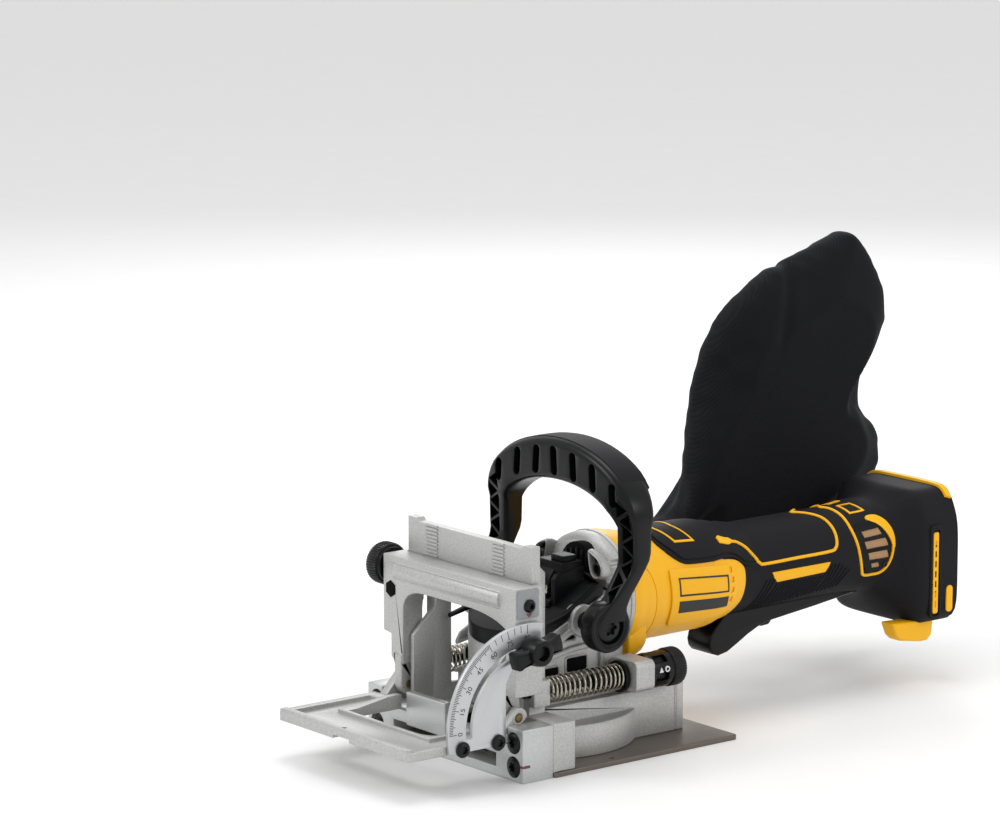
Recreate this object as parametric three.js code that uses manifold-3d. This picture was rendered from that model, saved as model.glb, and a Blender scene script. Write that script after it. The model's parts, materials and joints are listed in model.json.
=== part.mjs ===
// A cordless biscuit joiner, in millimetres, +Z up, its blade slot towards -Y and its battery dock
// towards +Y.
// The origin is on the underside of the shoe, below the blade axis when the tool is at rest.
import * as THREE from "three";
import { mergeVertices } from "three/addons/utils/BufferGeometryUtils.js";
import Module from "manifold-3d";

const wasm = await Module();
wasm.setup();

// ---------------------------------------------------------------- driving dimensions
const CLEAR = 0.3; // between pieces that fit together
const RUN = 0.8; // between pieces that slide or turn past each other

// Blade, stroke and spindle
const BLADE_D = 100;
const SHOE_FRONT = -72;
const SHOE_TO_AXIS = 62; // from the face of the shoe back to the blade axis at rest
const BLADE_T = 2.5;
const BLADE_Z = 10; // centre of the kerf above the work
const BLADE_TEETH = 6;
const BLADE_Y = SHOE_FRONT + SHOE_TO_AXIS; // blade axis at rest; the origin is the middle of the guard
const MAX_CUT = 20; // how far the blade comes out of the face
const STROKE = SHOE_TO_AXIS + MAX_CUT - BLADE_D / 2; // travel of the motor unit
const SPINDLE_R = 6;
const SPINDLE_REAR_R = 7; // above the flange
const SPINDLE_TOP = 70;
const FLANGE_R = 14;
const NUT_R = 12;

// Shoe
const SHOE_W = 152;
const FACE_DEPTH = 23; // front to back of the face plate
const FACE_TOP = 22; // its top edge between the side blocks
const BLOCK_W = 14.5; // width of the side blocks
const BLOCK_TOP = 32.5;
const BLOCK_DEPTH = 17; // part of the side blocks behind the face plate
const SLOT_W = 100.6;
const SLOT_H = 8.2;
const PAD_X0 = -34; // raised pad on the face plate
const PAD_X1 = 4;
const PAD_TOP = 35;
const PAD_T = 2.5;
const PLATE_T = 3;
const PLATE_W = 154;
const PLATE_REAR = 96;
const WALL_X = 45; // outer face of the rail walls
const WALL_T = 4;
const WALL_TOP = 33;
const WALL_REAR = 79.5;
const GUARD_R = 60.5; // round guard round the blade
const GUARD_WALL = 4.5;
const GUARD_TOP = 22;
const ROOF_Z = 18; // ceiling of the blade chamber
const SPINDLE_WAY_R = 20; // half width of the opening in which the spindle travels
const FACE_SCREW_X = 66.8;
const FACE_SCREW_Z = [8.6, 23.2];
const FACE_SCREW_R = 2.4;
const FACE_HEAD_R = 6.1;
const FACE_HEAD_T = 3;
const FACE_SCREW_L = 30;

// Uprights and rack plate
const UPRIGHT_X0 = 41;
const UPRIGHT_X1 = 50;
const UPRIGHT_Y0 = -46.5;
const UPRIGHT_Y1 = -34;
const UPRIGHT_TOP = 125;
const WEB_T = 3.5;
const WEB_FRONT = -63.5;
const WEB_Z = [67, 82];
const RACK_W = 120;
const RACK_T = 6;
const RACK_Z0 = 98;
const RACK_TOP = 137;
const TOOTH_COLUMNS = [-36.5, 28]; // middle of each column of teeth
const TOOTH_W = 12;
const TOOTH_PITCH = 2.3;
const TOOTH_H = 0.85;
const PINION_TEETH = 18;
const PINION_R = (PINION_TEETH * TOOTH_PITCH) / (2 * Math.PI); // pitch radius

// Fence carrier
const CARRIER_W = 129;
const CARRIER_FRONT = -68.5;
const CARRIER_BACK = -53.2; // back of the beam, just in front of the rack plate
const CARRIER_REAR = -47.5; // back of the ends, which wrap round the rack plate
const CARRIER_TOP = 115;
const ARCH_TOP = 96;
const FAR_LEG_IN = -45;
const NEAR_LEG_IN = 55;
const LEG_STEP_Z = 67;
const FAR_LEG_LOW = -57;
const LEG_FOOT_Z = 49;
const TUNNEL_R = 6.3;
const TUNNEL_Y = -64.9;
const SHAFT_Y = UPRIGHT_Y0 - RACK_T - TOOTH_H / 2 - PINION_R; // in mesh with the rack plate's teeth
const SHAFT_Z = 106;
const SHAFT_R = 3;
const HEIGHT_KNOB_R = 15;
const HEIGHT_KNOB_L = 13;
const KNOB_GAP = 1.5; // so that the flap turns up past the height knob
const KNOB_SOCKET = 4; // depth of the shaft in that knob
const LIFT = 25; // upward travel of the carrier

// Flap hinge, flap and quadrant
const HINGE_Y = -62.5;
const HINGE_Z = 35.5;
const HINGE_PIN_R = 2.5;
const TIP_X0 = 46; // leg tips that hold the hinge pins
const TIP_X1 = 53;
const TIP_R = 6.5;
const LUG_X1 = 60.5;
const FLAP_W = 131;
const FLAP_FRONT = -149;
const FLAP_BOTTOM = HINGE_Z - (HINGE_Y - SHOE_FRONT + PAD_T); // so that it turns up flush with the raised pad
const FLAP_T = 5.5;
const FLAP_WEB = 2.8; // thickness inside the rim
const FLAP_LIP = 7.5; // height of the front lip
const FLAP_LIP_D = 6.5;
const FLAP_RIM = 6;
const FLAP_WINDOW = [-38, 42.5]; // opening between the arms
const FLAP_WINDOW_FRONT = -115;
const FLAP_REAR = -74.8;
const QUAD_T = 2.5;
const QUAD_R = 59;
const QUAD_SLOT_R = 43.5;
const QUAD_SLOT_W = 4.6;
const QUAD_SCREW_Y = [-111, -84.5];
const QUAD_SCREW_Z = 26;
const QUAD_HEAD_R = 4.7;
const KNOB_HUB_R = 8;
const KNOB_NECK_R = 5.5;
const KNOB_NECK_L = 2.6;
const KNOB_WING = 17.5;
const KNOB_TILT = 14; // degrees that the wings slope
const KNOB_L = 13;
const STUD_R = 1.9;

// Motor unit
const AXIS_Z = 86; // motor and grip axis
const HEAD_R = 42;
const HEAD_HALF_W = 37;
const HEAD_BOTTOM = 38;
const HEAD_FRONT_TOP = 66;
const COVER_FRONT_TOP = 76;
const COVER_REAR_TOP = 100;
const COVER_T = 6;
const RING_Y0 = 29;
const RING_Y1 = 45;
const RING_R = 39;
const CASE_Y1 = 122;
const CASE_R = 34;
const CASE_WALL = 3;
const GRIP_R = 28.5;
const GRIP_Y1 = 262;
const SHELL_WALL = 3;
const DOCK_Y1 = 313;
const DOCK_W = 88;
const DOCK_Z0 = 35;
const DOCK_Z1 = 124;
const TONGUE_HALF = 40.4;
const TONGUE_Y = [-30, 62];
const LUG_Y = [25.6, 40.3];
const MOTOR_LUG_X = [38, 64];
const MOTOR_LUG_Z = [37, 56];

// Springs, rods and depth turret
const ROD_X = 49;
const ROD_Z = 45.5;
const ROD_R = 2.5;
const SLEEVE_R = 4.5;
const SPRING_R = 8.2; // outer radius
const SPRING_WIRE = 1.6;
const SPRING_TURNS = 16;
const TURRET_R = 12;
const TURRET_Y1 = 69.5;
const TURRET_NOTCHES = 6;

// D-shaped front handle
const HANDLE_HALF = 70.5;
const HANDLE_LEG = 17.3;
const HANDLE_Y = [18, 32];
const HANDLE_TOP = 185.7;
const HANDLE_BAR = 26;
const HANDLE_SPRING_Z = 140;
const HANDLE_BOSS_Y = 4.5;
const HANDLE_BOSS_Z = 81;
const HANDLE_BOSS_HALF = 65; // the bosses are slimmer than the bar, so the quadrant can pass them
const HANDLE_BOSS_R = 13.7;
const HANDLE_SCREW_R = 8;
const PAD_HALF = 42;

// Dust port and bag
const PORT_R = 14;
const PORT_WALL = 2;
const BAG_X = [-104, -50];
const BAG_SOFT = 12; // rounding of the bag's edges
const BAG_WALL = 2;

// Worked out from those, and details
const SEGMENTS = 24;
const faceRear = SHOE_FRONT + FACE_DEPTH;
const blockIn = SHOE_W / 2 - BLOCK_W;
const bladeSlotZ = [BLADE_Z - SLOT_H / 2, BLADE_Z + SLOT_H / 2];
const bladeWayX = SLOT_W / 2;
const DUCT_X = [-41, -19];
const PORT_END = [-64, 116, 74];
const LEVER_Y = -58;
const LEVER_Z = 84;
const LEVER_PIN_R = 3;
const STUD_Z = HINGE_Z + QUAD_SLOT_R;
const POINTER_Y = [-67.5, -51.5];
const POINTER_Z = [96.5, 114];
const POINTER_T = 1;
const POINTER_SCREW = [-59, 104];
const quadX = [FLAP_W / 2 + CLEAR, FLAP_W / 2 + CLEAR + QUAD_T];
const COVER_REAR_Y = 22;
const FLANGE_TOP = BLADE_Z + BLADE_T / 2 + 4;
const GEAR_TEETH = 24;
const BEVEL_TEETH = 12; // teeth of the motor's pinion
const GEAR_R = 20; // outer pitch radius of the bevel gear, and the pinion's distance from the blade axis
const BEVEL_R = (GEAR_R * BEVEL_TEETH) / GEAR_TEETH;
const BEVEL_FACE = 0.3; // length of the teeth, as a share of their distance from where the axes meet
const BEVEL_SINK = 0.65; // depth of each tooth's widest section below the pitch cone, at the outer end
const BEVEL_TOOTH = 1.1; // half width of that section
const BEARING_R = 14;
const HANDLE_IN = HANDLE_HALF - HANDLE_LEG;
const HANDLE_SEAT_R = 10;
const SEAT_NECK_R = 5.5;
const SEAT_ROOT = 6; // how far the seats reach into the head
const BOX_X = [-4, 20];
const BOX_Y = [3, 19];
const BOX_TOP = 113;
const LOCK_AT = [12, 11];
const LOCK_R = 5;
const LOCK_PIN_Z = 97;
const CAVITY_X = 33;
const CAVITY_Y = 296;
const CAVITY_Z = [DOCK_Z0 + 3, 112];
const VENT_Y = [243, 261];
const VENT_Z = [AXIS_Z - 12, AXIS_Z + 12];
const PADDLE_Y = [122, 256];
const PADDLE_HINGE = [PADDLE_Y[1] - 4, AXIS_Z - GRIP_R + 0.5];
const LOCKOFF_HALF = 4;
const LOCKOFF_Y = [173.5, 193.5];
const SLEEVE_L = 24;
const MOTOR_SHAFT_R = 4;

// ---------------------------------------------------------------- solids

function solid(geometry) {
  const g = geometry.clone();
  for (const name of ["normal", "uv"]) g.deleteAttribute(name);
  const merged = mergeVertices(g, 1e-4);
  return new wasm.Manifold(
    new wasm.Mesh({
      numProp: 3,
      vertProperties: merged.attributes.position.array,
      triVerts: new Uint32Array(merged.index.array),
    }),
  );
}

function geometryOf(made) {
  const m = made.getMesh();
  const vertices = new Float32Array(m.numVert * 3);
  for (let i = 0; i < m.numVert; i++) {
    vertices.set(m.vertProperties.subarray(i * m.numProp, i * m.numProp + 3), i * 3);
  }
  const g = new THREE.BufferGeometry();
  g.setAttribute("position", new THREE.BufferAttribute(vertices, 3));
  g.setIndex(new THREE.BufferAttribute(new Uint32Array(m.triVerts), 1));
  g.computeVertexNormals();
  return g;
}

const join = (...parts) => parts.reduce((a, b) => a.add(b));
const cut = (body, ...tools) => tools.reduce((a, b) => a.subtract(b), body);

function box(x, y, z) {
  const g = new THREE.BoxGeometry(x[1] - x[0], y[1] - y[0], z[1] - z[0]);
  g.translate((x[0] + x[1]) / 2, (y[0] + y[1]) / 2, (z[0] + z[1]) / 2);
  return solid(g);
}

// A cylinder or cone along an axis, between two places on it. at holds the other two coordinates, in order.
function rod(axis, r, span, at, r2 = r, segments = SEGMENTS) {
  const g = new THREE.CylinderGeometry(r2, r, span[1] - span[0], segments);
  g.translate(0, (span[0] + span[1]) / 2, 0);
  if (axis === "x") g.rotateZ(-Math.PI / 2).translate(0, at[0], at[1]);
  if (axis === "y") g.translate(at[0], 0, at[1]);
  if (axis === "z") g.rotateX(Math.PI / 2).translate(at[0], at[1], 0);
  return solid(g);
}

const X = new THREE.Vector3(1, 0, 0);
const Y = new THREE.Vector3(0, 1, 0);
const Z = new THREE.Vector3(0, 0, 1);

// An outline drawn in the plane across an axis, extruded along it. x: (y, z), y: (x, z), z: (x, y).
function prism(axis, shape, span, curveSegments = 10) {
  const depth = span[1] - span[0];
  const g = new THREE.ExtrudeGeometry(shape, { depth, bevelEnabled: false, curveSegments });
  if (axis === "x") g.applyMatrix4(new THREE.Matrix4().makeBasis(Y, Z, X)).translate(span[0], 0, 0);
  if (axis === "y") g.rotateX(Math.PI / 2).translate(0, span[1], 0);
  if (axis === "z") g.translate(0, 0, span[0]);
  return solid(g);
}

const outline = (points) => new THREE.Shape(points.map(([a, b]) => new THREE.Vector2(a, b)));

// A rectangle with round corners, as an outline.
function roundRect(a, b, r) {
  const s = new THREE.Shape();
  s.moveTo(a[0] + r, b[0]);
  s.lineTo(a[1] - r, b[0]);
  s.absarc(a[1] - r, b[0] + r, r, -Math.PI / 2, 0);
  s.lineTo(a[1], b[1] - r);
  s.absarc(a[1] - r, b[1] - r, r, 0, Math.PI / 2);
  s.lineTo(a[0] + r, b[1]);
  s.absarc(a[0] + r, b[1] - r, r, Math.PI / 2, Math.PI);
  s.lineTo(a[0], b[0] + r);
  s.absarc(a[0] + r, b[0] + r, r, Math.PI, 1.5 * Math.PI);
  return s;
}

// Two half circles of radius r round a straight along the second axis.
function slotOutline(a, b, r) {
  return roundRect([a - r, a + r], [b[0] - r, b[1] + r], r * 0.999);
}

// A profile of [radius, place] points turned about an axis along Y at (0, z).
function turnedY(profile, at, segments = 32) {
  const g = new THREE.LatheGeometry(profile.map(([r, y]) => new THREE.Vector2(r, y)), segments);
  g.translate(at[0], 0, at[1]);
  return solid(g);
}

// A profile of [radius, height] points turned about the blade axis.
function turnedZ(profile, segments = 32) {
  const g = new THREE.LatheGeometry(profile.map(([r, z]) => new THREE.Vector2(r, z)), segments);
  g.rotateX(Math.PI / 2).translate(0, BLADE_Y, 0);
  return solid(g);
}

function tubeAlong(points, r, steps, sides = 12) {
  const path = new THREE.CatmullRomCurve3(points.map((p) => new THREE.Vector3(...p)));
  const section = new THREE.Shape();
  section.absarc(0, 0, r, 0, 2 * Math.PI);
  const g = new THREE.ExtrudeGeometry(section, { steps, extrudePath: path, curveSegments: sides });
  return solid(g);
}

const mirrorX = (made) => made.mirror([1, 0, 0]);

// ---------------------------------------------------------------- materials
const MATERIALS = {
  cast: { color: 0xcdcdcb, roughness: 0.55, metalness: 0.7 },
  machined: { color: 0xd6d9dc, roughness: 0.35, metalness: 0.85 },
  steel: { color: 0x8b867f, roughness: 0.4, metalness: 0.9 },
  plate: { color: 0x585048, roughness: 0.45, metalness: 0.8 },
  blackSteel: { color: 0x17181a, roughness: 0.4, metalness: 0.6 },
  brass: { color: 0xb08d4a, roughness: 0.35, metalness: 0.9 },
  yellow: { color: 0xfab820, roughness: 0.4, metalness: 0 },
  black: { color: 0x16181c, roughness: 0.35, metalness: 0 },
  soft: { color: 0x2d2d30, roughness: 0.8, metalness: 0 },
  clear: { color: 0xc8ccd0, roughness: 0.15, metalness: 0 },
  copper: { color: 0xa8623a, roughness: 0.4, metalness: 0.9 },
  cloth: { color: 0x0c0e12, roughness: 0.95, metalness: 0 },
};

const joiner = new THREE.Group();

function node(name, made, material, parent = joiner) {
  const mesh = new THREE.Mesh(geometryOf(made), new THREE.MeshStandardMaterial(MATERIALS[material]));
  mesh.name = name;
  parent.add(mesh);
  return mesh;
}

// ---------------------------------------------------------------- shoe

function facePlate() {
  const half = SHOE_W / 2;
  const front = outline([
    [-half, 0], [half, 0], [half, BLOCK_TOP], [blockIn, BLOCK_TOP], [blockIn, FACE_TOP],
    [-blockIn, FACE_TOP], [-blockIn, BLOCK_TOP], [-half, BLOCK_TOP],
  ]);
  const body = prism("y", front, [SHOE_FRONT, faceRear]);
  const pad = box([PAD_X0, PAD_X1], [SHOE_FRONT - PAD_T, SHOE_FRONT + PAD_T], [bladeSlotZ[1], PAD_TOP]);
  const slot = box([-bladeWayX, bladeWayX], [SHOE_FRONT - 10, faceRear + 1], bladeSlotZ);
  // The spindle and its nut come up behind the front wall at the end of the stroke.
  const way = rod("z", SPINDLE_WAY_R, [PLATE_T, FACE_TOP + 1], [0, BLADE_Y - STROKE]);
  const nutWay = box([-SPINDLE_WAY_R, SPINDLE_WAY_R], [faceRear - 6, faceRear + 1], [PLATE_T,
    FACE_TOP + 1]);
  return cut(join(body, pad), slot, way, nutWay, ...faceScrewWays(FACE_SCREW_R + CLEAR / 2,
    FACE_HEAD_R + CLEAR));
}

function faceScrewPlaces() {
  return [1, -1].flatMap((side) => FACE_SCREW_Z.map((z) => [side * FACE_SCREW_X, z]));
}

function faceScrewWays(shankR, headR) {
  return faceScrewPlaces().flatMap((at) => [
    rod("y", shankR, [SHOE_FRONT - 1, SHOE_FRONT + FACE_SCREW_L + 1], at),
    rod("y", headR, [SHOE_FRONT - 1, SHOE_FRONT + FACE_HEAD_T + CLEAR], at),
  ]);
}

function faceScrew(at) {
  const head = rod("y", FACE_HEAD_R, [SHOE_FRONT + CLEAR, SHOE_FRONT + FACE_HEAD_T], at);
  const shank = rod("y", FACE_SCREW_R, [SHOE_FRONT + 1, SHOE_FRONT + FACE_SCREW_L], at, FACE_SCREW_R, 12);
  const socket = rod("y", FACE_HEAD_R / 2.4, [SHOE_FRONT, SHOE_FRONT + FACE_HEAD_T / 2], at,
    FACE_HEAD_R / 2.4, 6);
  return cut(join(head, shank), socket);
}

function spindleWay(z0, z1) {
  return prism("z", slotOutline(0, [BLADE_Y - STROKE, BLADE_Y], SPINDLE_WAY_R), [z0, z1]);
}

function baseCasting() {
  const rear = WALL_REAR;
  const body = box([-WALL_X, WALL_X], [faceRear, rear], [PLATE_T, WALL_TOP]);
  const guard = rod("z", GUARD_R, [PLATE_T, GUARD_TOP], [0, 0], GUARD_R, 64);
  const guardFront = box([-SHOE_W, SHOE_W], [-SHOE_W, faceRear], [0, WALL_TOP]);
  const blocks = [1, -1].map((s) =>
    box(s > 0 ? [WALL_X - 1, SHOE_W / 2] : [-SHOE_W / 2, 1 - WALL_X], [faceRear, faceRear + BLOCK_DEPTH],
      [PLATE_T, BLOCK_TOP]));
  const chamberR = GUARD_R - GUARD_WALL;
  const chamber = rod("z", chamberR, [PLATE_T - 1, ROOF_Z], [0, 0], chamberR, 48);
  const chamberFront = box([-bladeWayX - 2, bladeWayX + 2], [faceRear - 1, 0], [PLATE_T - 1, ROOF_Z]);
  const channel = box([-WALL_X + WALL_T, WALL_X - WALL_T], [faceRear - 1, rear + 1], [GUARD_TOP,
    WALL_TOP + 1]);
  const duct = box([DUCT_X[0], DUCT_X[1]], [30, rear + 1], [PLATE_T + 2, ROOF_Z]);
  const slit = [1, -1].map((s) => box([s * WALL_X - 0.8, s * WALL_X + 0.8], [rear - 7, rear - 5.5],
    [PLATE_T, 50]));
  const body2 = cut(join(body, cut(guard, guardFront), ...blocks), chamber, chamberFront, channel, duct,
    spindleWay(PLATE_T, WALL_TOP + 1), ...slit, ...faceScrewWays(FACE_SCREW_R + CLEAR / 2, FACE_SCREW_R));
  return join(body2, upright(), mirrorX(upright()));
}

// One upright stands on a rail wall and carries the rack plate; a web in front of it guides the
// carrier's leg.
function upright() {
  const profile = outline([
    [UPRIGHT_Y0, BLOCK_TOP - 1], [UPRIGHT_Y1, BLOCK_TOP - 1], [UPRIGHT_Y1, UPRIGHT_TOP - 7],
    [UPRIGHT_Y1 - 7, UPRIGHT_TOP], [UPRIGHT_Y0, UPRIGHT_TOP],
  ]);
  const post = prism("x", profile, [UPRIGHT_X0, UPRIGHT_X1]);
  const webShape = outline([
    [UPRIGHT_Y0 + 1, FACE_TOP + CLEAR], [UPRIGHT_Y0 + 1, WEB_Z[1] + 4], [UPRIGHT_Y0 - 1, WEB_Z[1]],
    [WEB_FRONT, WEB_Z[0]], [WEB_FRONT, FACE_TOP + CLEAR],
  ]);
  const web = prism("x", webShape, [UPRIGHT_X0, UPRIGHT_X0 + WEB_T]);
  const foot = box([UPRIGHT_X0, UPRIGHT_X1], [UPRIGHT_Y0, UPRIGHT_Y1], [GUARD_TOP, BLOCK_TOP]);
  const bore = rod("y", ROD_R + CLEAR / 2, [UPRIGHT_Y0 - 5, UPRIGHT_Y1 + 5], [ROD_X, ROD_Z]);
  const cheek = box([UPRIGHT_X0, ROD_X + 6], [UPRIGHT_Y0, UPRIGHT_Y1], [ROD_Z - 8, ROD_Z + 8]);
  return cut(join(post, web, foot, cheek), bore);
}

function bottomPlate() {
  const half = PLATE_W / 2;
  const shape = roundRect([-half, half], [faceRear + CLEAR, PLATE_REAR], 2.5);
  const hole = rod("z", 2, [-1, PLATE_T + 1], [half - 6.5, 0]);
  return cut(prism("z", shape, [0, PLATE_T], 3), hole, mirrorX(hole));
}

function rackPlate() {
  const y = [UPRIGHT_Y0 - RACK_T, UPRIGHT_Y0];
  const half = RACK_W / 2;
  const tab = 8;
  const face = outline([
    [-half, RACK_Z0], [half, RACK_Z0], [half, RACK_TOP], [half - tab, RACK_TOP], [half - tab - 2,
      RACK_TOP - 2],
    [-half + tab + 2, RACK_TOP - 2], [-half + tab, RACK_TOP], [-half, RACK_TOP],
  ]);
  const plate = prism("y", face, y);
  // A gap between two teeth lies level with the pinion shaft.
  const below = Math.floor((SHAFT_Z - RACK_Z0 - 1) / TOOTH_PITCH);
  const above = Math.floor((RACK_TOP - 3 - SHAFT_Z) / TOOTH_PITCH);
  const comb = new THREE.Shape();
  comb.moveTo(y[0] + 0.5, SHAFT_Z - below * TOOTH_PITCH);
  for (let i = -below; i < above; i++) {
    const z = SHAFT_Z + (i + 0.5) * TOOTH_PITCH;
    comb.lineTo(y[0], z - 0.55);
    comb.lineTo(y[0] - TOOTH_H, z - 0.3);
    comb.lineTo(y[0] - TOOTH_H, z + 0.3);
    comb.lineTo(y[0], z + 0.55);
  }
  comb.lineTo(y[0] + 0.5, SHAFT_Z + above * TOOTH_PITCH);
  const teeth = TOOTH_COLUMNS.map((x) => prism("x", comb, [x - TOOTH_W / 2, x + TOOTH_W / 2]));
  return join(plate, ...teeth);
}

function guideRod(side) {
  return rod("y", ROD_R, [UPRIGHT_Y0 - 4, LUG_Y[0] - 1.2], [side * ROD_X, ROD_Z], ROD_R, 16);
}

function returnSpring(side) {
  const y0 = UPRIGHT_Y1 + CLEAR;
  const y1 = LUG_Y[0] - CLEAR;
  const mid = SPRING_R - SPRING_WIRE / 2;
  const stepsPerTurn = 8;
  const count = SPRING_TURNS * stepsPerTurn;
  const wire = SPRING_WIRE / 2;
  const points = Array.from({ length: count + 1 }, (_, i) => {
    const a = (i / stepsPerTurn) * 2 * Math.PI;
    const y = y0 + wire + ((y1 - y0 - 2 * wire) * i) / count;
    return new THREE.Vector3(side * ROD_X + mid * Math.cos(a), y, ROD_Z + mid * Math.sin(a));
  });
  const section = new THREE.Shape();
  section.absarc(0, 0, wire, 0, 2 * Math.PI);
  const path = new THREE.CatmullRomCurve3(points);
  return solid(new THREE.ExtrudeGeometry(section, { steps: count, extrudePath: path, curveSegments: 2 }));
}

function dustPort() {
  const x = (DUCT_X[0] + DUCT_X[1]) / 2;
  const way = [
    [x, WALL_REAR + 1, 12], [x - 2, WALL_REAR + 14, 15], [x - 22, WALL_REAR + 24, 34], [PORT_END[0],
      PORT_END[1], 55],
    PORT_END,
  ];
  const flange = box([DUCT_X[0] - 3, DUCT_X[1] + 3], [WALL_REAR + CLEAR, WALL_REAR + 3],
    [PLATE_T + CLEAR, 24]);
  const outer = tubeAlong(way, PORT_R * 0.8, 14, 5);
  const inner = tubeAlong([[x, WALL_REAR - 6, 12], ...way.slice(1, -1), [PORT_END[0], PORT_END[1],
    PORT_END[2] + 4]],
    PORT_R * 0.8 - PORT_WALL, 14, 5);
  const floor = box([-200, 200], [-200, 300], [-50, PLATE_T + CLEAR]);
  const front = box([-200, 200], [-200, WALL_REAR + CLEAR], [-50, 100]);
  return cut(join(flange, outer), inner, floor, front);
}

// ---------------------------------------------------------------- fence carrier
function fenceCarrier() {
  const half = CARRIER_W / 2;
  const front = new THREE.Shape();
  front.moveTo(-half, CARRIER_TOP);
  front.lineTo(-half, LEG_STEP_Z);
  front.lineTo(FAR_LEG_LOW, LEG_STEP_Z - 1);
  front.lineTo(FAR_LEG_LOW, LEG_FOOT_Z + 3);
  front.lineTo(-TIP_X1, LEG_FOOT_Z);
  front.lineTo(FAR_LEG_IN, LEG_FOOT_Z);
  front.lineTo(FAR_LEG_IN, 82);
  front.quadraticCurveTo(FAR_LEG_IN, ARCH_TOP, -24, ARCH_TOP);
  front.lineTo(22, ARCH_TOP);
  front.quadraticCurveTo(44, ARCH_TOP - 1, NEAR_LEG_IN, 89);
  front.lineTo(NEAR_LEG_IN, LEG_FOOT_Z);
  front.lineTo(half, LEG_FOOT_Z);
  front.lineTo(half, CARRIER_TOP);
  const body = prism("y", front, [CARRIER_FRONT, CARRIER_REAR], 6);
  const behind = box([-RACK_W / 2 - RUN, RACK_W / 2 + RUN], [CARRIER_BACK, CARRIER_REAR + 1],
    [LEG_FOOT_Z - 20, CARRIER_TOP + 30]);
  const tunnel = rod("x", TUNNEL_R, [-53, 50], [TUNNEL_Y, SHAFT_Z], TUNNEL_R, 20);
  const boss = prism("y", roundRect([TIP_X0, half], [LEG_FOOT_Z, LEG_FOOT_Z + 14], 3), [CARRIER_FRONT,
    CARRIER_BACK], 3);
  const tips = [1, -1].map((s) => {
    const tip = prism("x", slotOutline2(HINGE_Y, HINGE_Z, LEG_FOOT_Z + 6, TIP_R), [TIP_X0, TIP_X1], 8);
    return s > 0 ? tip : mirrorX(tip);
  });
  const pinWay = rod("x", HINGE_PIN_R, [-half, half], [HINGE_Y, HINGE_Z], HINGE_PIN_R, 16);
  const shaftWay = rod("x", SHAFT_R + CLEAR, [-half - 1, half - 8], [SHAFT_Y, SHAFT_Z],
    SHAFT_R + CLEAR, 16);
  const pinionWays = TOOTH_COLUMNS.flatMap((x) => [
    rod("x", PINION_R + RUN, [x - TOOTH_W / 2 - 1, x + TOOTH_W / 2 + 1], [SHAFT_Y, SHAFT_Z]),
    box([x - TOOTH_W / 2 - 1, x + TOOTH_W / 2 + 1], [CARRIER_BACK - TOOTH_H - 0.4, CARRIER_BACK + 1],
      [80, 130]),
  ]);
  const stud = rod("x", STUD_R + CLEAR / 2, [half - 9, half + 1], [HINGE_Y, STUD_Z],
    STUD_R + CLEAR / 2, 16);
  const hex = rod("y", 4, [CARRIER_FRONT - 1, CARRIER_FRONT + 5], [-57, 94], 4, 6);
  const leverWay = rod("x", LEVER_PIN_R + CLEAR, [-half - 1, -half + 9], [LEVER_Y, LEVER_Z],
    LEVER_PIN_R + CLEAR, 16);
  return cut(join(cut(body, behind), tunnel, boss, ...tips), pinWay, shaftWay, ...pinionWays, stud,
    hex, leverWay,
    pointerScrewShank(CLEAR / 2), box([-TIP_X0, TIP_X0], [CARRIER_FRONT - 1, CARRIER_REAR + 1], [10,
      LEG_FOOT_Z - 1]));
}

// A half-round foot round (y, z0) whose straight sides run up to z1.
function slotOutline2(y, z0, z1, r) {
  const s = new THREE.Shape();
  s.moveTo(y - r, z1);
  s.lineTo(y - r, z0);
  s.absarc(y, z0, r, Math.PI, 2 * Math.PI);
  s.lineTo(y + r, z1);
  return s;
}

function pointerScrewShank(extra) {
  const x = CARRIER_W / 2;
  return rod("x", 1.5 + extra, [x - 6, x + POINTER_T], POINTER_SCREW, 1.5 + extra, 12);
}

function pointerWindow() {
  const x = CARRIER_W / 2;
  return cut(prism("x", roundRect(POINTER_Y, POINTER_Z, 1.5), [x, x + POINTER_T], 3),
    pointerScrewShank(CLEAR / 2));
}

function pointerScrew() {
  const x = CARRIER_W / 2 + POINTER_T;
  const head = rod("x", 4, [x, x + 2.4], POINTER_SCREW, 3.2, 16);
  return cut(join(head, pointerScrewShank(0)), rod("x", 1.4, [x + 1.2, x + 3], POINTER_SCREW, 1.4, 6));
}

function hingePin(side) {
  const pin = rod("x", HINGE_PIN_R - 0.05, [TIP_X0, LUG_X1 + 0.3], [HINGE_Y, HINGE_Z],
    HINGE_PIN_R - 0.05, 16);
  return side > 0 ? pin : mirrorX(pin);
}

function pinionShaft() {
  const half = CARRIER_W / 2;
  const shaft = rod("x", SHAFT_R, [-half - KNOB_GAP - KNOB_SOCKET, half - 9], [SHAFT_Y, SHAFT_Z],
    SHAFT_R, 16);
  const star = new THREE.Shape();
  const root = PINION_R - TOOTH_H / 2 - 0.15;
  const tip = PINION_R + TOOTH_H / 2 - 0.1;
  const corners = [[root, -0.5], [tip, -0.28], [tip, 0.28], [root, 0.5]];
  for (let i = 0; i < PINION_TEETH; i++) {
    const a = (i / PINION_TEETH) * 2 * Math.PI;
    for (const [radius, half] of corners) {
      const b = a + half / radius;
      const at = [SHAFT_Y + radius * Math.cos(b), SHAFT_Z + radius * Math.sin(b)];
      if (i === 0 && half === -0.5) star.moveTo(...at);
      else star.lineTo(...at);
    }
  }
  const pinions = TOOTH_COLUMNS.map((x) => prism("x", star, [x - TOOTH_W / 2, x + TOOTH_W / 2]));
  return join(shaft, ...pinions);
}

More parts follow.
